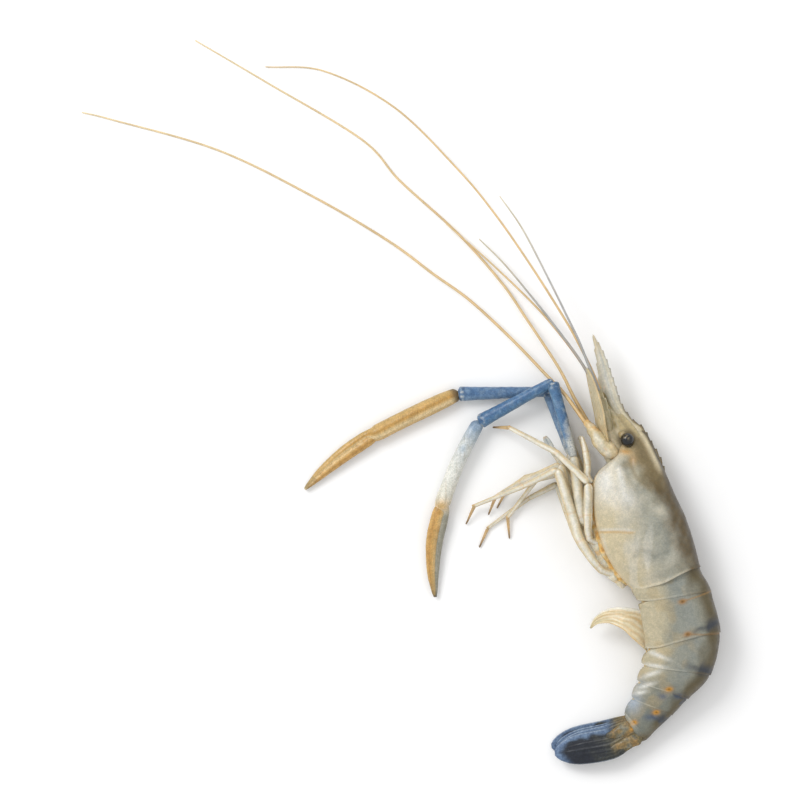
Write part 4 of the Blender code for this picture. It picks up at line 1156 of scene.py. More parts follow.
# The feelers as x, y, z, radius
ANTENNAE = {
    "left": [
        (-21.0, 36.6, 14.4, 0.8), (-26.4, 44.2, 10.4, 0.68), (-30.6, 49.6, 6.4, 0.62),
        (-35.2, 54.2, 5.2, 0.6), (-48.0, 67.5, 4.2, 0.55), (-63.2, 81.6, 2.8, 0.5),
        (-76.5, 91.2, 1.4, 0.46), (-92.5, 103.0, 0.7, 0.42), (-119.2, 118.8, 0.6, 0.38),
        (-154.3, 136.0, 0.5, 0.33),
        (-192.5, 147.0, 0.45, 0.27), (-204.0, 149.8, 0.4, 0.2),
    ],
    "right": [
        (-20.6, 37.6, 8.6, 0.75), (-25.6, 46.5, 6.8, 0.62), (-29.4, 54.2, 5.6, 0.56),
        (-33.3, 60.8, 4.4, 0.52), (-42.5, 74.6, 2.6, 0.48), (-51.7, 88.0, 1.5, 0.45),
        (-67.7, 106.0, 0.8, 0.42), (-88.6, 125.0, 0.7, 0.38), (-102.5, 140.0, 0.6, 0.34),
        (-137.5, 161.0, 0.5, 0.28),
        (-163.0, 176.0, 0.45, 0.2),
    ],
}
ANTENNULES = {
    "left": [
        [
            (-16.0, 48.4, 14.4, 0.62), (-19.4, 56.5, 16.2, 0.52), (-24.0, 65.8, 17.0, 0.46),
            (-29.2, 75.0, 16.4, 0.43), (-41.5, 94.5, 12.5, 0.4), (-54.3, 113.0, 7.0, 0.37),
            (-67.5, 129.0, 2.6, 0.34), (-90.5, 151.5, 0.8, 0.3), (-116.0, 164.7, 0.5, 0.25),
            (-137.5, 166.3, 0.45, 0.18),
        ],
        [
            (-16.5, 48.6, 15.2, 0.58), (-20.6, 58.4, 18.0, 0.48), (-24.0, 66.9, 18.6, 0.42),
            (-27.9, 75.0, 18.2, 0.38), (-34.0, 87.5, 15.5, 0.34), (-44.0, 107.0, 8.0, 0.3),
            (-52.5, 119.5, 3.2, 0.2),
        ],
    ],
    "right": [
        [
            (-16.6, 48.4, 8.2, 0.62), (-23.5, 60.0, 8.6, 0.48), (-30.0, 69.0, 7.4, 0.42),
            (-37.7, 79.0, 5.6, 0.36), (-50.5, 94.5, 3.4, 0.3), (-60.0, 104.0, 2.8, 0.2),
        ],
        [
            (-17.2, 48.4, 7.6, 0.58), (-22.7, 58.6, 7.2, 0.48), (-32.2, 71.3, 5.2, 0.42),
            (-41.5, 81.6, 4.2, 0.37), (-57.0, 96.4, 3.0, 0.3), (-72.0, 109.5, 2.4, 0.2),
        ],
    ],
}


# Each antenna's bulb, each antennule's three stem pieces from start to end and the leaf beside each antenna,
# as x, y, distance out from the middle plane, half width
ANTENNA_BULB = [
    (-9.4, 25.2, 4.4, 2.0), (-12.8, 27.2, 4.7, 2.9), (-15.8, 30.2, 4.6, 2.9),
    (-18.0, 33.4, 4.0, 2.2), (-19.8, 35.8, 3.4, 1.7), (-21.7, 38.0, 2.9, 1.05),
]
ANTENNULE_STEM = [
    ((-12.6, 33.8, 3.1, 1.7), (-14.9, 42.2, 3.1, 2.0)),
    ((-14.5, 41.0, 3.1, 1.8), (-15.9, 46.4, 3.1, 1.7)),
    ((-15.6, 45.0, 3.1, 1.5), (-17.1, 49.8, 3.1, 1.1)),
]
ANTENNA_LEAF = [
    (-14.6, 31.0, 4.2, 3.0), (-15.8, 36.0, 5.8, 3.8), (-16.7, 41.4, 6.2, 4.0),
    (-18.2, 47.5, 6.2, 3.4), (-19.8, 53.2, 6.2, 2.1), (-21.0, 56.9, 6.2, 0.5),
]
LEAF_ROLL = 1.18


def beside_middle(rows, side):
    """Those rows as x, y, z, half width on one side of the animal."""
    return [(x, y, MIDDLE + side * out, half) for x, y, out, half in rows]


def whip(name, node, points, root_colour, colour, tip_colour):
    """A long ringed feeler."""

    def tinted(grid, share, angle):
        return paint(
            colour, (root_colour, smooth(share, 0.12, 0.0)), (tip_colour, smooth(share, 0.45, 1.0)),
            # Deeper gold in random patches and on the underside; on the underside it is painted shade
            (DEEP_GOLD, 0.2 * smooth(waves(grid, 9, 90), 0.2, 0.9)
                + 0.35 * smooth(np.cos(angle), -0.2, -0.9)),
            # Paler along the top: painted highlight
            ((244, 226, 188), 0.4 * smooth(np.cos(angle), 0.6, 1.0)),
        )

    def ringed(grid, share, angle):
        return 0.005 * np.sin(np.arange(grid.shape[0]) * math.pi / 2)[:, None] * smooth(share, 0.9, 0.3)

    piece = add_tube(Piece(), points, tinted, 0.45, 12, relief=ringed, ends=(0.2, 0.5))
    piece.make(name, [node], WHIP_LOOK, "feeler")


def feelers():
    """Antennae with their bulbs and leaves, and antennules with their two branches each."""
    for side, word in SIDES:

        def knob_colour(grid, share, angle):
            crease = smooth(waves(grid, 1.5, 91), 0.35, 0.9)
            return paint(
                (224, 204, 162), (MILK, 0.5 * smooth(waves(grid, 2.2, 92), 0.0, 0.8)),
                ((214, 160, 88), 0.55 * crease), ((226, 172, 88), 0.6 * smooth(share, 0.8, 1.0)),
                ((150, 110, 62), 0.5 * smooth(share, 0.16, 0.02)),
            )

        def wrinkles(grid, share, angle):
            return 0.16 * waves(grid, 2.0, 93) + 0.12 * np.cos(share * 2 * math.pi * 4 + 0.6 * np.cos(angle))

        bulb = beside_middle(ANTENNA_BULB, side)
        piece = add_tube(Piece(), bulb, knob_colour, 0.2, 30, 0.95, wrinkles)
        piece.make(f"antenna_{word}_base", [f"antenna_{word}"], MEMBRANE_LOOK, "feeler")
        whip(
            f"antenna_{word}_whip", f"antenna_{word}", ANTENNAE[word], GOLD, (222, 188, 132),
            (234, 208, 160),
        )

        def stem_colour(grid, share, angle):
            lengthwise = np.cos(4 * angle + waves(grid, 4.0, 94))
            return paint(
                (186, 172, 134), ((214, 202, 170), 0.6 * smooth(lengthwise, 0.0, 0.9)),
                ((140, 124, 88), 0.4 * smooth(lengthwise, -0.3, -1.0)),
            )

        piece = Piece()
        for start, end in ANTENNULE_STEM:
            rows = beside_middle((start, between(start, end, 0.5), end), side)
            add_article(piece, rows, stem_colour, 0.22, 22, 0.86, 1.03)
        piece.make(f"antennule_{word}_stem", [f"antennule_{word}"], MEMBRANE_LOOK, "feeler")
        golden, bluish = (0, 1) if word == "left" else (1, 0)
        name = f"antennule_{word}"
        whip(name + "_gold", name, ANTENNULES[word][golden], GOLD, (216, 178, 116), PALE_GOLD)
        whip(
            name + "_blue", name, ANTENNULES[word][bluish], (120, 132, 150), (132, 144, 162),
            (196, 190, 170),
        )

        leaf = beside_middle(ANTENNA_LEAF, side)
        grid, over, along, face = leaf_grid(leaf, -side * LEAF_ROLL, 100, 37)
        outer = over * side
        rib = smooth(outer, -0.78, -0.95)
        patch = patches(grid, 2.2, 96)
        streak = stripes(over * 17 + 1.5 * patch)
        thick = (0.3 + 0.45 * rib + 0.03 * np.sin(over * 22)) * thin_rim(over)
        tint = paint(
            (204, 192, 162), ((224, 214, 188), 0.5 * smooth(streak, 0.4, 1.0)),
            ((166, 152, 118), 0.3 * smooth(streak, 0.4, 0.0)), ((216, 184, 126), 0.5 * rib),
            ((196, 172, 126), 0.6 * smooth(along + 0.3 * (patch - 0.5), 0.45, 0.1)),
        )
        thick_leaf(Piece(), grid, face, thick, tint).make(
            f"antenna_{word}_leaf", [f"antenna_scale_{word}"], LIMB_LOOK, "pale_limb"
        )
        fringe(f"antenna_{word}_leaf_fringe", f"antenna_scale_{word}", grid, 0.5, 0.9, 110, 96, MILK)


# Limbs


def belly_way(place):
    """(belly edge point, direction away from the back, depth of the section) at a section of SHELL."""
    belly_x, belly_y, back_x, back_y, _, middle = shell_at(place)
    away = unit(np.array((belly_x - back_x, belly_y - back_y, 0.0)))
    return np.array((belly_x, belly_y, middle)), away, math.hypot(belly_x - back_x, belly_y - back_y)


def hip(place, side, offset):
    """Where a leg leaves the breast at a section of SHELL, and the direction out of the body there."""
    edge, away, _ = belly_way(place)
    return edge + away * (BREAST_DEPTH + HIP_CLEARANCE) + np.array((0, 0, side * offset)), away


def coxae(piece):
    """Pale bases of the walking legs, packed side by side along the breast."""
    places = np.linspace(3.0, 6.75, 90)
    for lift, reach, wide in ((2.6, 0.9, 1.9), (-2.6, 0.9, 1.9), (0.4, 0.7, 2.2)):
        path = []
        for place in places:
            edge, away, _ = belly_way(place)
            end = min(place - 2.9, 6.85 - place)
            spread = wide * math.sqrt(min(max(end / 1.1, 0.02), 1.0))
            path.append((*(edge + away * (BREAST_DEPTH * 0.55 + reach) + np.array((0, 0, lift))), spread))
        path = np.array(path)
        run = run_along(path[:, :3])
        lobes = np.cos((places - 3.55) * 2 * math.pi / 0.76)[:, None]

        def tinted(grid, share, angle, lobes=lobes):
            patch = patches(grid, 1.2, 104)
            return paint(
                (228, 216, 188),
                ((240, 235, 220), 0.7 * smooth(lobes + 0 * angle, 0.2, 1.0)),
                ((214, 168, 100), 0.65 * smooth(lobes + 0 * angle + 0.5 * (patch - 0.5), -0.55, -1.0)),
                ((218, 184, 128), 0.5 * smooth(patch, 0.65, 0.95)),
            )

        def relief(grid, share, angle, lobes=lobes):
            return 0.22 * lobes + 0.1 * waves(grid, 1.3, 105)

        add_rings(piece, path, run, tinted, 26, 0.9, relief)


def breast():
    """The soft orange strip along the shell's lower edges, with the pale bases of the legs outside it."""
    rows = 130
    places = np.linspace(BREAST_FIRST + 0.7, BREAST_LAST, rows)
    rings = []
    angle = np.linspace(0, 2 * math.pi, 48, endpoint=False)
    for place in places:
        edge, away, depth = belly_way(place)
        share = (place - places[0]) / (BREAST_LAST - places[0])
        taper = math.sqrt(max(1.0 - abs(2 * share - 1) ** 7, 0.03))
        half = BREAST_HALF_WIDTH * taper * 1.12
        centre = edge + away * (0.4 * BREAST_DEPTH - 0.3 * SHELL_GROOVE * depth)
        tall = 0.55 * (BREAST_DEPTH * taper + SHELL_GROOVE * depth) + 0.45
        cross, out = blunted(np.sin(angle)) * half, blunted(np.cos(angle)) * tall
        rings.append(centre + away * out[:, None] + np.array((0, 0, 1.0)) * cross[:, None])
    grid = np.array(rings)
    normal = outward(grid)
    relief = 0.14 * waves(grid, 1.2, 100)
    outwards = 1 if (normal * (grid - grid.mean(1, keepdims=True))).sum() > 0 else -1
    grid = grid + normal * (outwards * relief)[..., None]
    patch = patches(grid, 1.2, 101)
    colour = paint(
        (242, 206, 142),
        ((236, 178, 88), 0.8 * smooth(patch, 0.45, 0.8)),
        ((248, 232, 200), 0.6 * smooth(patch, 0.35, 0.1)),
        ((150, 104, 52), 0.4 * smooth(patch, 0.88, 1.0)),
    )
    piece = Piece().add(grid, colour)
    coxae(piece)
    piece.make("breast_strip", ["breast_plate"], MEMBRANE_LOOK, "membrane")


NO_TIP = 99  # more articles than a limb has, so that none of them has the colour of a claw


def limb_colour(tips, warm=0.3):
    """Colours of a pale walking leg whose articles from that number on have the colour of a claw."""

    def tinted(grid, share, angle, number):
        last = np.asarray(number) >= tips
        lengthwise = np.cos(3 * angle + 0.8 + 0.5 * waves(grid, 4.0, 122))
        return paint(
            (226, 215, 188),
            ((241, 237, 226), 0.8 * smooth(lengthwise, 0.1, 0.9)),
            ((212, 182, 128), 0.6 * smooth(lengthwise, -0.4, -1.0)),
            ((196, 192, 176), 0.3 * smooth(waves(grid, 6.0, 121), 0.2, 0.9)),
            ((218, 172, 104), warm * (smooth(share, 0.07, 0.0) + smooth(share, 0.95, 1.0))),
            ((204, 164, 102), 0.8 * last),
            ((104, 82, 54), 0.9 * smooth(share, 0.45, 1.0) * last),
        )

    return tinted


# Walking legs: the hip's place along the shell, then the joints as x, y, z, radius
WALKING_LEGS = {
    ("3", "left"): (4.35, 2, [
        (-20.6, -3.6, 16.8, 1.15), (-20.8, 4.0, 18.4, 1.1), (-20.6, 15.5, 18.4, 1.05),
        (-32.0, 26.4, 16.4, 0.9), (-48.8, 35.4, 7.0, 0.6), (-55.0, 35.6, 2.6, 0.22),
    ]),
    ("4", "left"): (5.1, 2, [
        (-20.4, -6.4, 11.7, 1.15), (-25.6, 3.5, 11.5, 1.25), (-30.6, 22.2, 12.4, 1.05),
        (-45.0, 15.8, 7.0, 0.75), (-53.8, 10.6, 4.0, 0.5), (-56.5, 3.8, 1.0, 0.2),
    ]),
    ("5", "left"): (5.85, 3, [
        (-17.0, -14.8, 16.0, 1.2), (-23.4, -5.5, 15.8, 1.25), (-26.4, 4.5, 15.4, 1.3),
        (-31.6, 20.6, 15.4, 1.05), (-43.8, 14.4, 10.4, 0.75), (-61.5, 7.2, 3.6, 0.5), (-64.6, 0.4, 0.8, 0.2),
    ]),
    ("3", "right"): (4.35, 2, [
        (-19.8, -1.0, 4.4, 1.1), (-22.6, 9.0, 2.4, 1.1), (-29.6, 20.8, 1.5, 0.9),
        (-43.0, 17.6, 1.3, 0.65), (-50.0, 12.6, 1.1, 0.45), (-53.4, 6.2, 0.6, 0.2),
    ]),
    ("4", "right"): (5.1, 2, [
        (-19.6, -8.2, 5.0, 1.1), (-25.6, 2.0, 4.4, 1.15), (-31.2, 18.6, 4.6, 0.95),
        (-39.0, 16.6, 4.6, 0.7), (-49.4, 3.0, 2.0, 0.5), (-48.8, -4.8, 0.7, 0.2),
    ]),
    ("5", "right"): (5.85, 3, [
        (-16.6, -15.0, 3.2, 1.15), (-23.6, -5.5, 1.9, 1.15), (-27.6, 5.0, 1.6, 1.1),
        (-31.4, 15.2, 1.5, 0.9), (-42.0, 9.8, 1.3, 0.65), (-56.6, -0.8, 1.0, 0.45), (-59.8, -8.0, 0.6, 0.2),
    ]),
}


def knuckled(place, side, joints, radius, offset=HIP_OFFSET):
    """The leg's joints, with a hip that grows out of the breast in front."""
    start, away = hip(place, side, offset)
    first = np.array(joints[0][:3])
    root = start - away * 2.2
    turn = start * 0.6 + first * 0.4 + away * 0.3
    return [(*root, radius * 0.9), (*turn, radius)] + joints


def walking_legs():
    """Three pairs, swept forwards under the head."""
    for (number, word), (place, knee, joints) in WALKING_LEGS.items():
        side = LEFT if word == "left" else RIGHT
        node = f"walking_leg_{number}_{word}"
        seed = int(number) * 2 + side
        upper = [(*joint[:3], joint[3] * (1.5 if k else 1.15)) for k, joint in enumerate(joints[: knee + 1])]
        upper = knuckled(place, side, upper, 1.35)
        piece = add_leg(Piece(), upper, limb_colour(NO_TIP), seed, 24, 0.66, dip=0.03)
        piece.make(node + "_thigh", [node + "_upper"], LIMB_LOOK, "pale_limb")
        lower = [(*joint[:3], joint[3] * 1.3) for joint in joints[knee:]]
        piece = add_leg(Piece(), lower, limb_colour(len(joints) - knee - 2), seed + 1, flat=0.72, dip=0.04)
        piece.make(node + "_shin", [node + "_lower"], LIMB_LOOK, "pale_limb")
        leg_hairs(node + "_hairs", node + "_lower", joints[-3:], seed)


def leg_hairs(name, node, joints, seed, number=36):
    """Sparse bristles on the last articles of a leg."""
    rng = np.random.default_rng(200 + seed)
    bristles = []
    for _ in range(number):
        first = rng.integers(0, len(joints) - 1)
        start, end = np.array(joints[first]), np.array(joints[first + 1])
        share = rng.uniform(0.1, 0.95)
        place = start + (end - start) * share
        ahead = unit(end[:3] - start[:3])
        away = unit(np.cross(ahead, rng.normal(size=3)))
        root = place[:3] + away * place[3] * 0.8
        bristles.append((root, away + ahead * 0.9, rng.uniform(0.5, 1.2)))
    hairs(name, node, "pale_limb", bristles, 0.035, PALE_GOLD, seed)


# Joints of the jaw feet and of the small pincer legs, and how far from the middle plane these start
JAW_FEET = {
    LEFT: [(-20.6, 22.0, 16.4, 1.3), (-21.4, 27.0, 16.6, 1.2), (-23.0, 32.5, 15.6, 0.6)],
    RIGHT: [(-20.6, 22.0, 6.6, 1.3), (-21.4, 27.0, 6.6, 1.2), (-23.6, 32.5, 7.4, 0.6)],
}
SMALL_CLAWS = {
    LEFT: [
        (-24.8, 14.4, 10.4, 1.2), (-31.6, 24.6, 8.8, 1.2), (-34.0, 28.4, 8.8, 1.35), (-36.3, 32.4, 8.8, 0.6),
    ],
    RIGHT: [
        (-20.8, 13.6, 2.6, 1.1), (-23.6, 23.0, 1.6, 1.1), (-27.2, 31.0, 1.4, 1.15), (-30.2, 36.2, 1.3, 0.5),
    ],
}
SMALL_CLAW_OFFSETS = {LEFT: 0.4, RIGHT: 6.6}


def front_limbs():
    """The jaw feet and the first, small pair of pincer legs."""
    for side, word in SIDES:
        node = "jaw_foot_" + word
        joints = knuckled(1.7, side, JAW_FEET[side], 1.1, 4.4)
        piece = add_leg(Piece(), joints, limb_colour(NO_TIP, 0.4), 31, dip=0.04)
        piece.make(node + "_leg", [node], LIMB_LOOK, "pale_limb")
        leg_hairs(node + "_hairs", node, JAW_FEET[side], 32 + side, 90)
        node = "small_claw_" + word
        joints = knuckled(2.1, side, SMALL_CLAWS[side], 1.1, SMALL_CLAW_OFFSETS[side])
        piece = add_leg(Piece(), joints[:-1], limb_colour(NO_TIP), 33, dip=0.04)
        palm, tip = np.array(joints[-2]), np.array(joints[-1])
        ahead = unit(tip[:3] - palm[:3])
        apart = unit(np.array((-ahead[1], ahead[0], 0)))

        def finger_colour(grid, share, angle):
            return paint(
                (222, 220, 210),
                (SKY, 0.3 * smooth(share, 0.1, 0.5)), (GOLD, 0.5 * smooth(share, 0.7, 1.0)),
            )

        for way in (1, -1):
            root = palm[:3] + apart * way * 0.5 - ahead * 0.8
            centre = palm[:3] * 0.45 + tip[:3] * 0.55 + apart * way * 0.55
            end = tip[:3] + apart * way * 0.25
            add_tube(piece, [(*root, 0.85), (*centre, 0.68), (*end, 0.4)], finger_colour, 0.25, 16)
        piece.make(node + "_leg", [node], LIMB_LOOK, "pale_limb")


# The big arms' joints from the body outwards, the palm's half widths, how far it and its fingers bow, each
# finger's thickness and distance from the middle as shares of FINGER's radii, first for the moving finger and
# then for the fixed one, and the side of the moving finger
BIG_ARMS = {
    "left": {
        "basis": (-22.9, 3.0, 14.6),
        "knee": (-25.8, 25.2, 13.4),
        "elbow": (-33.4, 52.0, 9.6),
        "wrist": (-60.0, 37.4, 5.0),
        "palm": (-73.6, 6.2, 3.5),
        "tip": (-75.8, -26.0, 1.8),
        "palm_widths": (1.9, 2.4, 2.6, 2.7, 2.75, 2.8),
        "bows": (1.2, 2.1),
        "fingers": (1.42, 0.36, 1.08, 1.18),
        "moving_side": -1,
    },
    "right": {
        "basis": (-22.4, 3.6, 7.0),
        "knee": (-26.9, 26.2, 5.6),
        "elbow": (-34.8, 48.5, 3.4),
        "wrist": (-67.6, 47.7, 3.2),
        "palm": (-98.7, 32.7, 2.9),
        "tip": (-123.1, 13.1, 1.4),
        "palm_widths": (2.05, 2.6, 2.95, 3.05, 3.0, 2.9),
        "bows": (0.2, 1.1),
        "fingers": (1.12, 0.76, 1.1, 0.72),
        "moving_side": 1,
    },
}
PALM = (-0.02, 0.05, 0.2, 0.45, 0.75, 0.95)  # the shares of its length at which the palm's half widths stand
TIP_ENDS = (0.5, 0.5)  # how far a palm and a finger are rounded at their ends
# Finger sections: share of its length, radius
FINGER = ((-0.04, 1.15), (0.04, 1.5), (0.15, 1.6), (0.4, 1.5), (0.7, 1.12), (0.9, 0.62), (1.0, 0.25))


def arm_colour(side, base_pale):
    """Steel blue, deeper on its upper side, with a pale part towards its start and mottled ends."""

    def tinted(grid, share, angle):
        patch = patches(grid, 1.2, 130)
        fleck = patches(grid, 0.8, 131)
        up = np.cos(angle - 0.5)
        reach = share + 0.15 * (patch - 0.5) - 0.18 * np.sin(angle)
        ends = smooth(share, 0.08, 0.0) * (1 - base_pale) + smooth(share, 0.89, 0.97)
        return paint(
            (94, 134, 170) if side == LEFT else (116, 146, 178),
            ((62, 104, 150), 0.55 * smooth(up, 0.3, 0.95) + 0.25 * smooth(patch, 0.6, 0.95)),
            ((138, 162, 184), 0.35 * smooth(patch, 0.4, 0.1) + 0.6 * smooth(up, 0.1, -0.6)),
            ((178, 186, 190), 0.8 * smooth(up, -0.3, -0.9)),
            ((212, 210, 200), base_pale * smooth(reach, 0.55, 0.1)),
            ((54, 66, 90), 0.7 * smooth(fleck, 0.7, 0.9) * ends),
            (WHITISH, 0.8 * smooth(fleck, 0.45, 0.2) * ends),
        )

    return tinted


def granular(seed, size, depth):
    """Small rounded granules over an arm or claw."""

    def relief(grid, share, angle):
        return depth * np.clip(waves(grid, size, seed), -0.3, 1.0) + 0.03 * waves(grid, 3, seed + 1)

    return relief


def big_claws():
    """The second pair of legs: blue arms with long golden pincers."""
    for side, word in SIDES:
        name = "big_claw_" + word
        arm = BIG_ARMS[word]
        basis, knee, elbow, wrist = [np.array(arm[key]) for key in ("basis", "knee", "elbow", "wrist")]
        joints = knuckled(3.55, side, [(*basis, 1.95), (*(basis + (knee - basis) * 1.01), 1.75)], 1.7)
        piece = add_leg(Piece(), joints, limb_colour(NO_TIP), 41, 28, dip=0.04)
        piece.make(name + "_ischium", [name + "_hip"], LIMB_LOOK, "pale_limb")
        for node, start, end, near, far, pale in (
            ("_merus", knee, elbow, 1.55, 2.15, 0.95), ("_carpus", elbow, wrist, 1.75, 2.55, 0.0),
        ):
            ahead = unit(end - start)
            points = [(*(start - ahead * 0.5), near), (*((start + end) / 2), (near + far) / 2), (*end, far)]
            grains = granular(140, 0.7, 0.05)
            piece = add_article(Piece(), points, arm_colour(side, pale), 0.25, 36, 0.84, 1.05, 0.96, grains)
            arm_spines(piece, points, 12, 150 + len(node))
            piece.make(name + node + "_arm", [name + node], ARM_LOOK, "blue_arm")
        pincer(name, arm, side == RIGHT)


def arm_spines(piece, points, number, seed):
    """A few tiny forward-leaning spines along an article."""
    rng = np.random.default_rng(seed)
    path, run = sampled(points, 0.3)
    grid, way, angle = around(path, 24)
    for _ in range(number):
        k = rng.integers(int(len(path) * 0.1), int(len(path) * 0.9))
        j = rng.integers(0, 24)
        root = grid[k, j] - way[k, j] * 0.15
        ahead = unit(path[min(k + 2, len(path) - 1), :3] - path[k - 2, :3])
        tip = root + (way[k, j] * 0.32 + ahead * 0.34)
        add_tube(
            piece, [(*root, 0.17), (*((root + tip) / 2), 0.12), (*tip, 0.03)],
            lambda grid, share, angle: paint((96, 118, 150), (SKY, share)), 0.12, 6, ends=(0, 0),
        )


def pincer(name, arm, golden):
    """The palm with its fixed finger, and the moving finger beside it. The palm is golden or nearly white."""
    wrist, palm, tip = [np.array(arm[key]) for key in ("wrist", "palm", "tip")]
    ahead = unit(tip - palm)
    side = unit(np.array((-ahead[1], ahead[0], 0)))
    palm_bow, finger_bow = arm["bows"]
    broad, across, slim, beside = arm["fingers"]
    turned = arm["moving_side"]
    fixed, moving = [], []
    for share, width in zip(PALM, arm["palm_widths"]):
        place = wrist + (palm - wrist) * share - side * palm_bow * math.sin(math.pi * max(share, 0))
        fixed.append((*place, width))
    for share, radius in FINGER:
        middle = palm + (tip - palm) * share - side * finger_bow * math.sin(math.pi * max(share, 0))
        moving.append((*(middle + side * radius * across * turned + (0, 0, 0.25)), radius * broad))
        if share > 0:
            fixed.append((*(middle - side * radius * beside * turned - (0, 0, 0.2)), radius * slim))
    hand = np.linalg.norm(palm - wrist) / (np.linalg.norm(palm - wrist) + np.linalg.norm(tip - palm))

    def palm_colour(grid, share, angle):
        up = np.cos(angle)
        across = np.sin(angle)
        patch = patches(grid, 2.0, 160)
        if golden:
            return paint(
                (216, 174, 104),
                ((238, 212, 164), 0.95 * peak(across, -0.5, 0.3) * smooth(up, -0.3, 0.2)),
                ((184, 136, 58), 0.7 * peak(across, 0.1, 0.28) * smooth(share, 0.85, 0.6)),
                ((196, 168, 114), 0.6 * smooth(across, 0.4, 0.95)),
                # Greyer underneath: painted shade
                ((150, 142, 112), 0.7 * smooth(up, -0.2, -0.9)),
                ((104, 84, 54), 0.9 * smooth(share, 0.06, 0.02)),
                ((156, 140, 102), 0.7 * smooth(share, 0.86, 1.0)),
                ((222, 206, 168), smooth(share, 0.985, 1.0)),
            )
        return paint(
            (238, 237, 230),
            ((96, 128, 166), 0.9 * smooth(share + 0.05 * (patch - 0.5), 0.12, 0.04)),
            ((166, 186, 206), 0.75 * smooth(share, 0.3, 0.1) * (0.4 + 0.6 * patch)),
            ((240, 232, 212), 0.7 * smooth(share, 0.3, 0.5)),
            # Greyer underneath: painted shade
            ((178, 180, 176), 0.6 * smooth(up, 0.1, -0.8)),
            ((218, 176, 108), 0.9 * spot(grid, (-73.6, 7.0), (3.4, 2.4))),
            ((150, 146, 130), 0.9 * smooth(share, hand, hand + 0.05)),
            ((98, 108, 124), 0.6 * smooth(share, hand, hand + 0.1) * smooth(across, 0.2, 0.9)),
            (DARK, 0.6 * smooth(share, 0.965, 1.0)),
        )

    def finger_colour(grid, share, angle):
        across = np.sin(angle) * turned
        light = 0.75 * smooth(across, 0.0, 0.8) if golden else 0.7 * smooth(across, 0.1, 0.8)
        return paint(
            (216, 172, 102),
            ((236, 206, 152), light),
            ((184, 134, 62), 0.5 * smooth(waves(grid, 1.6, 161), 0.1, 0.9)),
            ((176, 124, 54), 0.6 * peak(across, -0.35, 0.25)),
            # Greyer underneath: painted shade
            ((160, 150, 120), 0.6 * smooth(np.cos(angle), -0.1, -0.8)),
            (BROWN, 0.4 * smooth(share, 0.08, 0.02)),
            ((156, 140, 102), 0.7 * smooth(share, 0.72, 1.0)),
            (DARK if not golden else IVORY, 0.8 * smooth(share, 0.96, 1.0)),
        )

    piece = add_tube(Piece(), fixed, palm_colour, 0.3, 40, 0.92, granular(162, 0.8, 0.03), TIP_ENDS)
    cutting_teeth(piece, fixed, side * turned, hand)
    piece.make(name + "_palm_claw", [name + "_palm"], CLAW_LOOK, "golden_claw")
    piece = add_tube(Piece(), moving, finger_colour, 0.3, 32, 0.86, granular(163, 0.8, 0.03), TIP_ENDS)
    piece.make(name + "_finger_claw", [name + "_finger"], CLAW_LOOK, "golden_claw")


def cutting_teeth(piece, fixed, inwards, hand):
    """Low blunt teeth along the inner edge of the fixed finger."""
    path, run = sampled(fixed, 0.5)
    first = int(len(path) * (hand + 0.05))
    for k in range(first, int(len(path) * 0.9), 3):
        centre = path[k, :3] + inwards * path[k, 3] * 0.86
        size = 0.34 if (k - first) // 3 in (1, 3) else 0.2
        tip = centre + inwards * size
        add_tube(
            piece, [(*centre, size), (*((centre + tip) / 2), size * 0.8), (*tip, size * 0.2)],
            lambda grid, share, angle: paint(DEEP_GOLD, (BROWN, share)), 0.12, 8, ends=(0, 0),
        )


# The first left swimmeret, which stands out from the belly, as x, y, z, half width
RAISED_PADDLE = [
    (3.2, -38.6, 11.6, 7.2), (-1.2, -36.2, 12.4, 5.9), (-6.0, -33.7, 12.2, 4.4), (-12.0, -32.5, 10.5, 3.0),
    (-17.0, -34.0, 8.5, 1.6), (-19.6, -37.0, 7.4, 0.3),
]


def paddle(word, spine, roll, cup, thickness, rows, hairs):
    """A soft leaf-shaped swimmeret with a rib and a wavy edge."""
    grid, over, along, face = leaf_grid(spine, roll, rows, 37, cup)
    rib = peak(over, 0.1, 0.12)
    waved = 0.1 * np.sin(over * 9 + along * 7)
    grid = grid + face * (waved * smooth(along, 0.1, 0.5))[..., None]
    thick = (thickness * (0.8 + 0.8 * rib)) * thin_rim(over) * (1 - 0.5 * along)
    patch = patches(grid, 2.6, 170)
    streak = stripes(over * 15 + 2 * patch)
    colour = paint(
        (224, 208, 172),
        ((206, 172, 118), 0.4 * smooth(streak, 0.5, 0.05) * smooth(along, 0.9, 0.6)),
        ((236, 226, 200), 0.6 * smooth(streak, 0.6, 1.0)),
        ((242, 238, 228), 0.9 * smooth(-over, 0.55, 0.95)),
        ((200, 166, 112), 0.4 * peak(over, -0.25, 0.1)),
        ((214, 170, 104), 0.6 * smooth(over, 0.8, 1.0)),
        ((190, 184, 162), 0.5 * smooth(along, 0.25, 0.0)),
    )
    name = "swimmeret_" + word
    thick_leaf(Piece(), grid, face, thick, colour).make(name + "_paddle", [name], LIMB_LOOK, "pale_limb")
    if hairs:
        fringe(name + "_fringe", name, grid, 0.3, 1.0, hairs, 171, MILK)


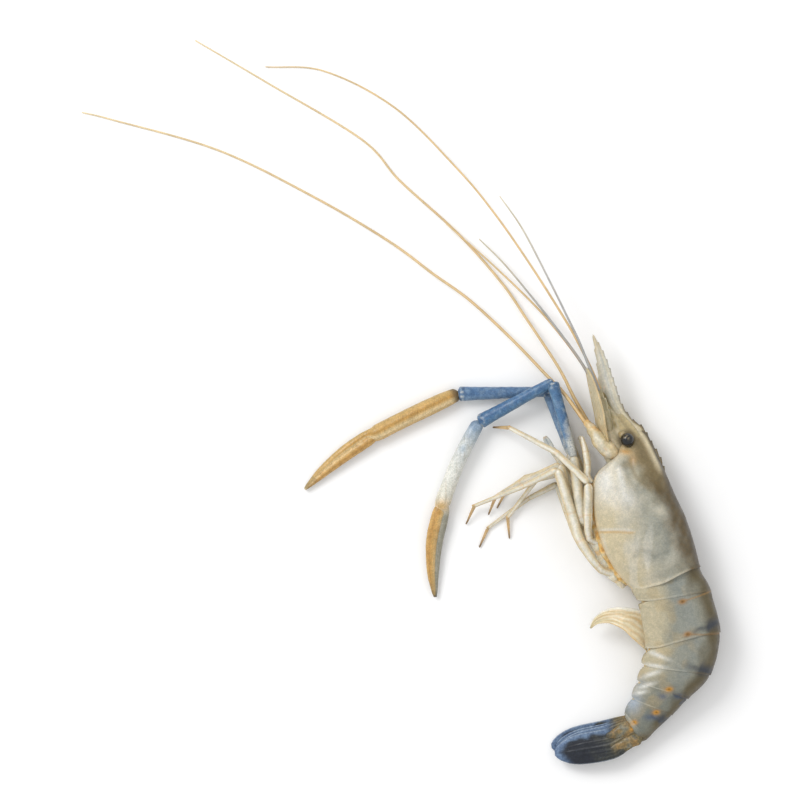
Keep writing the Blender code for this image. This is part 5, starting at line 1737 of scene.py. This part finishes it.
def swimmerets():
    """Five pairs of soft paddles under the tail. The first left one stands out, and the rest lie back."""
    paddle("1_left", RAISED_PADDLE, 0.25, 0.06, 0.6, 110, 130)
    for number in range(1, 6):
        for side, word in SIDES:
            if (number, side) == (1, LEFT):
                continue
            start, end = tail_at(number - 0.5), tail_at(number + 0.4)
            size = 1.24 - 0.12 * number
            lift = side * (2.6 + 1.05 * (number % 2)) * size
            away = unit(np.array((start[0] - start[2], start[1] - start[3])))
            later = unit(np.array((end[0] - end[2], end[1] - end[3])))
            depth = math.dist(start[:2], start[2:4])
            showing = 0.5 if (number, side) == (2, LEFT) else 0.0  # how far it stands out past the flaps
            root = start[:2] - away * (TAIL_GROOVE * depth - 0.9) * (1 - 0.75 * showing)
            tip = end[:2] - later * (0.5 + 0.5 * number - 1.7 * showing)
            low, high = start[5] + lift, end[5] + lift
            middle = (root + tip) / 2 + away * (0.2 + 1.0 * showing)
            places = ((*root, low), (*middle, (low + high) / 2), (*tip, high))
            spine = [(*point, half * size) for point, half in zip(places, (1.6, 2.0, 0.9))]
            paddle(f"{number}_{word}", spine, math.pi / 2, 0.0, 0.55, 50, 0)


# Stage

# In metres from here on
FRAME_WIDTH = 0.29  # what the picture spans at the prawn
FRAME_CENTRE = (-0.0885, 0.0455)
CAMERA_HEIGHT = 4.0
SENSOR = 36.0
FLOOR_REACH, FLOOR_WHITE, FLOOR_ROUGHNESS = 4.0, 0.93, 0.9
SKY_STRENGTH = 0.87
LIGHT_PLACE, LIGHT_AIM = (-0.9, 0.75, 1.15), (-0.02, 0.0, 0.01)
LIGHT_SIZE, LIGHT_POWER = 0.7, 12.0


def stage():
    """The white floor, the light and the camera straight above."""
    scene = bpy.context.scene
    mesh = bpy.data.meshes.new("floor")
    corners = [(x * FLOOR_REACH, y * FLOOR_REACH, 0) for x, y in ((-1, -1), (1, -1), (1, 1), (-1, 1))]
    mesh.from_pydata(corners, [], [(0, 1, 2, 3)])
    floor = bpy.data.objects.new("floor", mesh)
    scene.collection.objects.link(floor)
    look = bpy.data.materials.new("white_surface")
    look.use_nodes = True
    shader = look.node_tree.nodes["Principled BSDF"]
    shader.inputs["Base Color"].default_value = (FLOOR_WHITE, FLOOR_WHITE, FLOOR_WHITE, 1)
    shader.inputs["Roughness"].default_value = FLOOR_ROUGHNESS
    shader.inputs["Specular IOR Level"].default_value = 0.0
    mesh.materials.append(look)

    world = bpy.data.worlds.new("studio")
    scene.world = world
    world.use_nodes = True
    background = world.node_tree.nodes["Background"]
    background.inputs["Color"].default_value = (1.0, 1.0, 1.0, 1)
    background.inputs["Strength"].default_value = SKY_STRENGTH

    light = bpy.data.lights.new("key_light", "AREA")
    light.shape = "SQUARE"
    light.size = LIGHT_SIZE
    light.energy = LIGHT_POWER
    lamp = bpy.data.objects.new("key_light", light)
    lamp.location = LIGHT_PLACE
    x, y, z = np.array(LIGHT_AIM) - np.array(LIGHT_PLACE)
    lamp.rotation_euler = (math.atan2(math.hypot(x, y), -z), 0.0, math.atan2(y, x) - math.pi / 2)
    scene.collection.objects.link(lamp)

    camera = bpy.data.cameras.new("camera")
    camera.sensor_width = SENSOR
    camera.lens = SENSOR * CAMERA_HEIGHT / FRAME_WIDTH
    camera.clip_end = 20
    placed = bpy.data.objects.new("camera", camera)
    placed.location = (*FRAME_CENTRE, CAMERA_HEIGHT)
    scene.collection.objects.link(placed)
    scene.camera = placed
    scene.view_settings.view_transform = "Standard"


stage()
head_shell()
beak()
face()
eyes()
tail()
fan()
feelers()
breast()
walking_legs()
front_limbs()
big_claws()
swimmerets()

bpy.context.view_layer.update()
